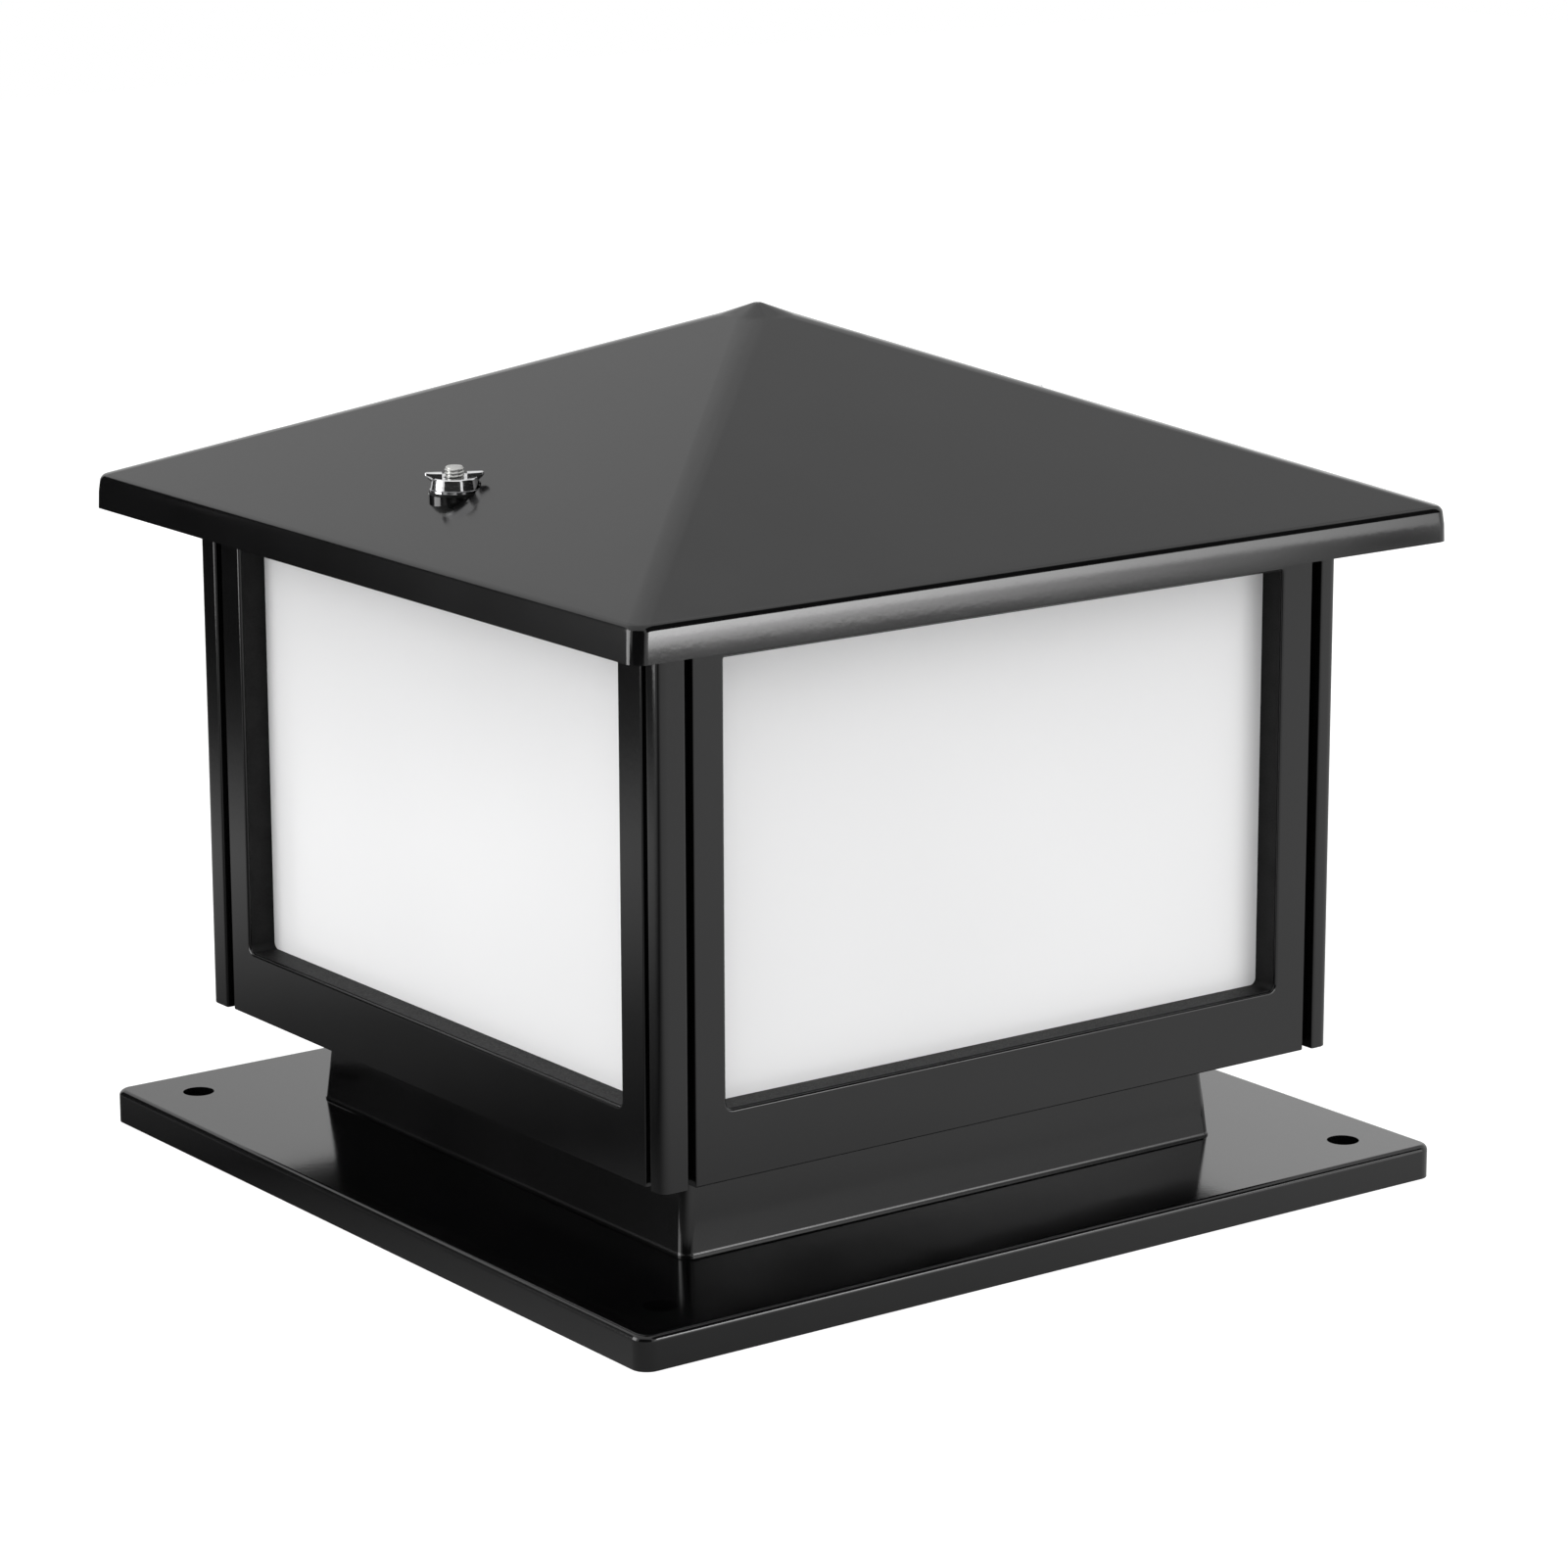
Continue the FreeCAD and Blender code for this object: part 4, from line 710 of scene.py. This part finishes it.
def gasketCord():
    # Half-round strip: flat below, and its top rises to the middle of its width as a sine
    low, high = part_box("roof_gasket")
    g = gasketSizes
    share = np.linspace(0, 1, g["rows"])
    across = high.x - g["width"] * share
    level = high.z - g["crown"] * (1 - np.sin(np.pi * share))
    corner = np.maximum(g["corner"] - g["width"] * share, g["leastCorner"])
    rows = [*zip(across, corner, level), (high.x - g["width"], g["leastCorner"], low.z), (high.x, g["corner"], low.z)]
    return piece("gasket_strip", [shell(squareStack(rows), along=True)], "housing", "black_rubber", ["roof_gasket"])


# Stage: floor, camera, lamps and the cards that the paint mirrors

stageSizes = {
    "floorHalf": 3.0,
    "floorColour": 0.42,
    "floorGlow": 0.74,
    "skyLight": 1.15,
    "heart": 0.12,  # height that the lamps look at
}

# Painted reflection: the level of light and shade that the paint mirrors from the floor, by the share of the way from
# the rear left to the front right. The low stops at 0.35 and 0.42, close beside the object, are painted shadow, and the
# rest is painted light and shade of the studio around it
floorPaintedReflection = {
    "reach": 1.0,
    "shares": ((0.05, 0.04), (0.13, 0.15), (0.18, 0.45), (0.23, 0.72), (0.29, 0.5), (0.35, 0.2), (0.42, 0.05),
               (0.52, 0.45), (0.63, 0.9), (0.8, 1.0)),
}

camera = {
    "place": (-0.9199, -1.2683, 0.4954),
    "azimuth": 36.23,
    "down": 13.52,
    "roll": -0.185,
    "lens": 118.35,
    "sensor": 36,
}


def addCamera():
    # Looks along (sin a cos e, cos a cos e, -sin e), then rolls about that line
    a, e, r = (math.radians(camera[key]) for key in ("azimuth", "down", "roll"))
    view = Vector((math.sin(a) * math.cos(e), math.cos(a) * math.cos(e), -math.sin(e)))
    right = Vector((math.cos(a), -math.sin(a), 0))
    up = right.cross(view)
    axes = (math.cos(r) * right + math.sin(r) * up, -math.sin(r) * right + math.cos(r) * up, -view)
    data = bpy.data.cameras.new("camera")
    data.lens, data.sensor_width = camera["lens"], camera["sensor"]
    thing = bpy.data.objects.new("camera", data)
    bpy.context.scene.collection.objects.link(thing)
    thing.matrix_world = Matrix.Translation(camera["place"]) @ Matrix(axes).transposed().to_4x4()
    bpy.context.scene.camera = thing


def seenRay(tree):
    # 1 for camera, mirror and see-through rays, which take the white background, and 0 for light on the object
    path = tree.nodes.new("ShaderNodeLightPath")
    either = maths(tree, "MAXIMUM", path.outputs["Is Camera Ray"], path.outputs["Is Glossy Ray"])
    return maths(tree, "MAXIMUM", either, path.outputs["Is Transmission Ray"])


def addWorld():
    # White where it is seen or mirrored, and at the sky's level as light on the object
    world = bpy.data.worlds.new("studio")
    bpy.context.scene.world = world
    world.use_nodes = True
    tree = world.node_tree
    background = tree.nodes["Background"]
    background.inputs["Color"].default_value = (1, 1, 1, 1)
    strength = node(tree, "ShaderNodeMix", data_type="FLOAT")
    sockets = [s for s in strength.inputs if s.enabled]
    tree.links.new(seenRay(tree), sockets[0])
    sockets[1].default_value, sockets[2].default_value = stageSizes["skyLight"], 1.0
    tree.links.new([s for s in strength.outputs if s.enabled][0], background.inputs["Strength"])


def flat(name, corners):
    # One face of the stage
    mesh = bpy.data.meshes.new(name)
    mesh.from_pydata([Vector(c) for c in corners], [], [list(range(len(corners)))])
    thing = bpy.data.objects.new(name, mesh)
    bpy.context.scene.collection.objects.link(thing)
    return thing


def seenFloor(tree):
    # Dull grey that glows only for the rays that see it
    shader = tree.nodes["Principled BSDF"]
    shader.inputs["Base Color"].default_value = (*[stageSizes["floorColour"]] * 3, 1)
    shader.inputs["Roughness"].default_value = 1.0
    shader.inputs["Specular IOR Level"].default_value = 0.0
    shader.inputs["Emission Color"].default_value = (1, 1, 1, 1)
    tree.links.new(maths(tree, "MULTIPLY", seenRay(tree), stageSizes["floorGlow"]), shader.inputs["Emission Strength"])
    return shader.outputs[0]


def paintedFloorReflection(tree):
    # Painted reflection for mirror rays only: a glow whose level is the share of the way from the rear left to the
    # front right, half of one plus (x sin a - y cos a) / reach, looked up in floorPaintedReflection
    place = node(tree, "ShaderNodeSeparateXYZ")
    tree.links.new(tree.nodes.new("ShaderNodeTexCoord").outputs["Object"], place.inputs[0])
    turn, reach = math.radians(camera["azimuth"]), floorPaintedReflection["reach"]
    across = maths(tree, "MULTIPLY", place.outputs["X"], math.sin(turn) / (2 * reach))
    away = maths(tree, "MULTIPLY", place.outputs["Y"], -math.cos(turn) / (2 * reach))
    share = maths(tree, "ADD", maths(tree, "ADD", across, away), 0.5)
    ramp = node(tree, "ShaderNodeValToRGB")
    stops = ramp.color_ramp.elements
    for at, level in floorPaintedReflection["shares"]:
        stop = stops.new(at)
        stop.color = (level, level, level, 1)
    stops.remove(stops[0])
    stops.remove(stops[-1])
    tree.links.new(share, ramp.inputs[0])
    light = node(tree, "ShaderNodeEmission")
    tree.links.new(ramp.outputs["Color"], light.inputs["Color"])
    return light.outputs[0]


def addFloor():
    h = stageSizes["floorHalf"]
    floor = flat("floor", [(-h, -h, 0), (h, -h, 0), (h, h, 0), (-h, h, 0)])
    material = bpy.data.materials.new("floor")
    material.use_nodes = True
    tree = material.node_tree
    # Mirror rays meet the painted reflection, with its painted shadow beside the object; all other rays meet the evenly
    # glowing floor
    mixed = node(tree, "ShaderNodeMixShader")
    tree.links.new(tree.nodes.new("ShaderNodeLightPath").outputs["Is Glossy Ray"], mixed.inputs[0])
    tree.links.new(seenFloor(tree), mixed.inputs[1])
    tree.links.new(paintedFloorReflection(tree), mixed.inputs[2])
    tree.links.new(mixed.outputs[0], tree.nodes["Material Output"].inputs["Surface"])
    floor.data.materials.append(material)


def card(name, turn, distance, width, foot, top, near, far=None):
    # Upright card that only mirror rays meet, at a compass turn from +Y towards +X. Its light runs from near at
    # its left edge to far at its right edge, as seen from the light
    t = math.radians(turn)
    middle = Vector((math.sin(t), math.cos(t), 0)) * distance
    across = Vector((math.cos(t), -math.sin(t), 0)) * width / 2
    lower, upper = Vector((0, 0, foot)), Vector((0, 0, top))
    thing = flat(name, [middle - across + lower, middle + across + lower,
                        middle + across + upper, middle - across + upper])
    thing.visible_camera = thing.visible_diffuse = thing.visible_transmission = False
    thing.visible_shadow = thing.visible_volume_scatter = False
    shade = thing.data.attributes.new("shade", "FLOAT", "POINT")
    end = near if far is None else far
    shade.data.foreach_set("value", [near, end, end, near])
    material = bpy.data.materials.new(name)
    material.use_nodes = True
    tree = material.node_tree
    tree.nodes.remove(tree.nodes["Principled BSDF"])
    light = tree.nodes.new("ShaderNodeEmission")
    value = node(tree, "ShaderNodeAttribute", attribute_name="shade")
    tree.links.new(value.outputs["Fac"], light.inputs["Strength"])
    tree.links.new(light.outputs[0], tree.nodes["Material Output"].inputs["Surface"])
    thing.data.materials.append(material)
    return thing


# Turn, distance, width, foot, top, then the light at the left and the right edge. A flag is a dark card
cardTable = {
    "flag_rear_left": (-26, 1.0, 0.36, 0.0, 0.62, 0.03, 0.03),
    "flag_left": (-45, 1.0, 0.3, 0.0, 0.62, 0.42, 0.02),
    "softbox_left": (-68, 0.95, 0.5, 0.0, 0.6, 5.0),
    "flag_camera": (-134, 1.25, 2.0, 0.0, 1.1, 0.03),
    "softbox_front": (151, 0.58, 0.42, 0.175, 0.262, 1.2, 13.5),
    "softbox_front_foot": (154, 0.58, 0.36, 0.144, 0.175, 0.0, 9.0),
    "flag_front": (151, 0.58, 0.7, 0.262, 0.95, 0.02, 0.02),
    "softbox_front_low": (151, 1.25, 1.0, 0.08, 0.6, 2.2, 2.0),
    "grey_rear_right": (66, 1.1, 0.9, 0.62, 1.6, 0.67, 0.62),
    "grey_rear": (17, 1.3, 0.8, 0.72, 1.7, 0.75, 0.74),
    "grey_low": (36, 1.4, 1.25, 0.0, 0.66, 0.72, 1.3),
    "grey_hip": (39, 1.6, 0.9, 0.75, 2.1, 0.71, 0.7),
}


# Place, width and power
lampTable = {
    "key": ((0.9, -1.2, 0.55), 0.9, 5),
    "fill": ((-1.4, 0.5, 0.5), 0.9, 6.5),
}


def addLamp(name, place, size, power):
    # Square lamp that looks at the light's heart and isn't mirrored
    data = bpy.data.lights.new(name, "AREA")
    data.size, data.energy = size, power
    thing = bpy.data.objects.new(name, data)
    bpy.context.scene.collection.objects.link(thing)
    thing.location = place
    thing.rotation_mode = "QUATERNION"
    thing.rotation_quaternion = (Vector(place) - Vector((0, 0, stageSizes["heart"]))).to_track_quat("Z", "Y")
    thing.visible_glossy = False


addCamera()
addWorld()
addFloor()
for name, sizes in cardTable.items():
    card(name, *sizes)
for name, sizes in lampTable.items():
    addLamp(name, *sizes)
print("stage set")

for quarters, side in enumerate(("front", "right", "rear", "left")):
    windowFrame(side, quarters)
for quarters, name in enumerate(("post_rear_right", "post_rear_left", "post_front_left", "post_front_right")):
    cornerPost(name, quarters)
neckShell()
print("lamp box dressed")

roofCasting()
roofStuds()
wingNut("left")
wingNut("right")
gasketCord()
print("roof fixings dressed")

lampCap()
print("lamp dressed")

for name, thing in nodes.items():
    material = finishes[slotOf[name]]
    for holder in thing.material_slots:
        holder.material = material
    if not thing.material_slots:
        thing.data.materials.append(material)
print("finishes on", len(nodes), "nodes")

bpy.context.scene.view_settings.view_transform = "Standard"
bpy.context.view_layer.update()
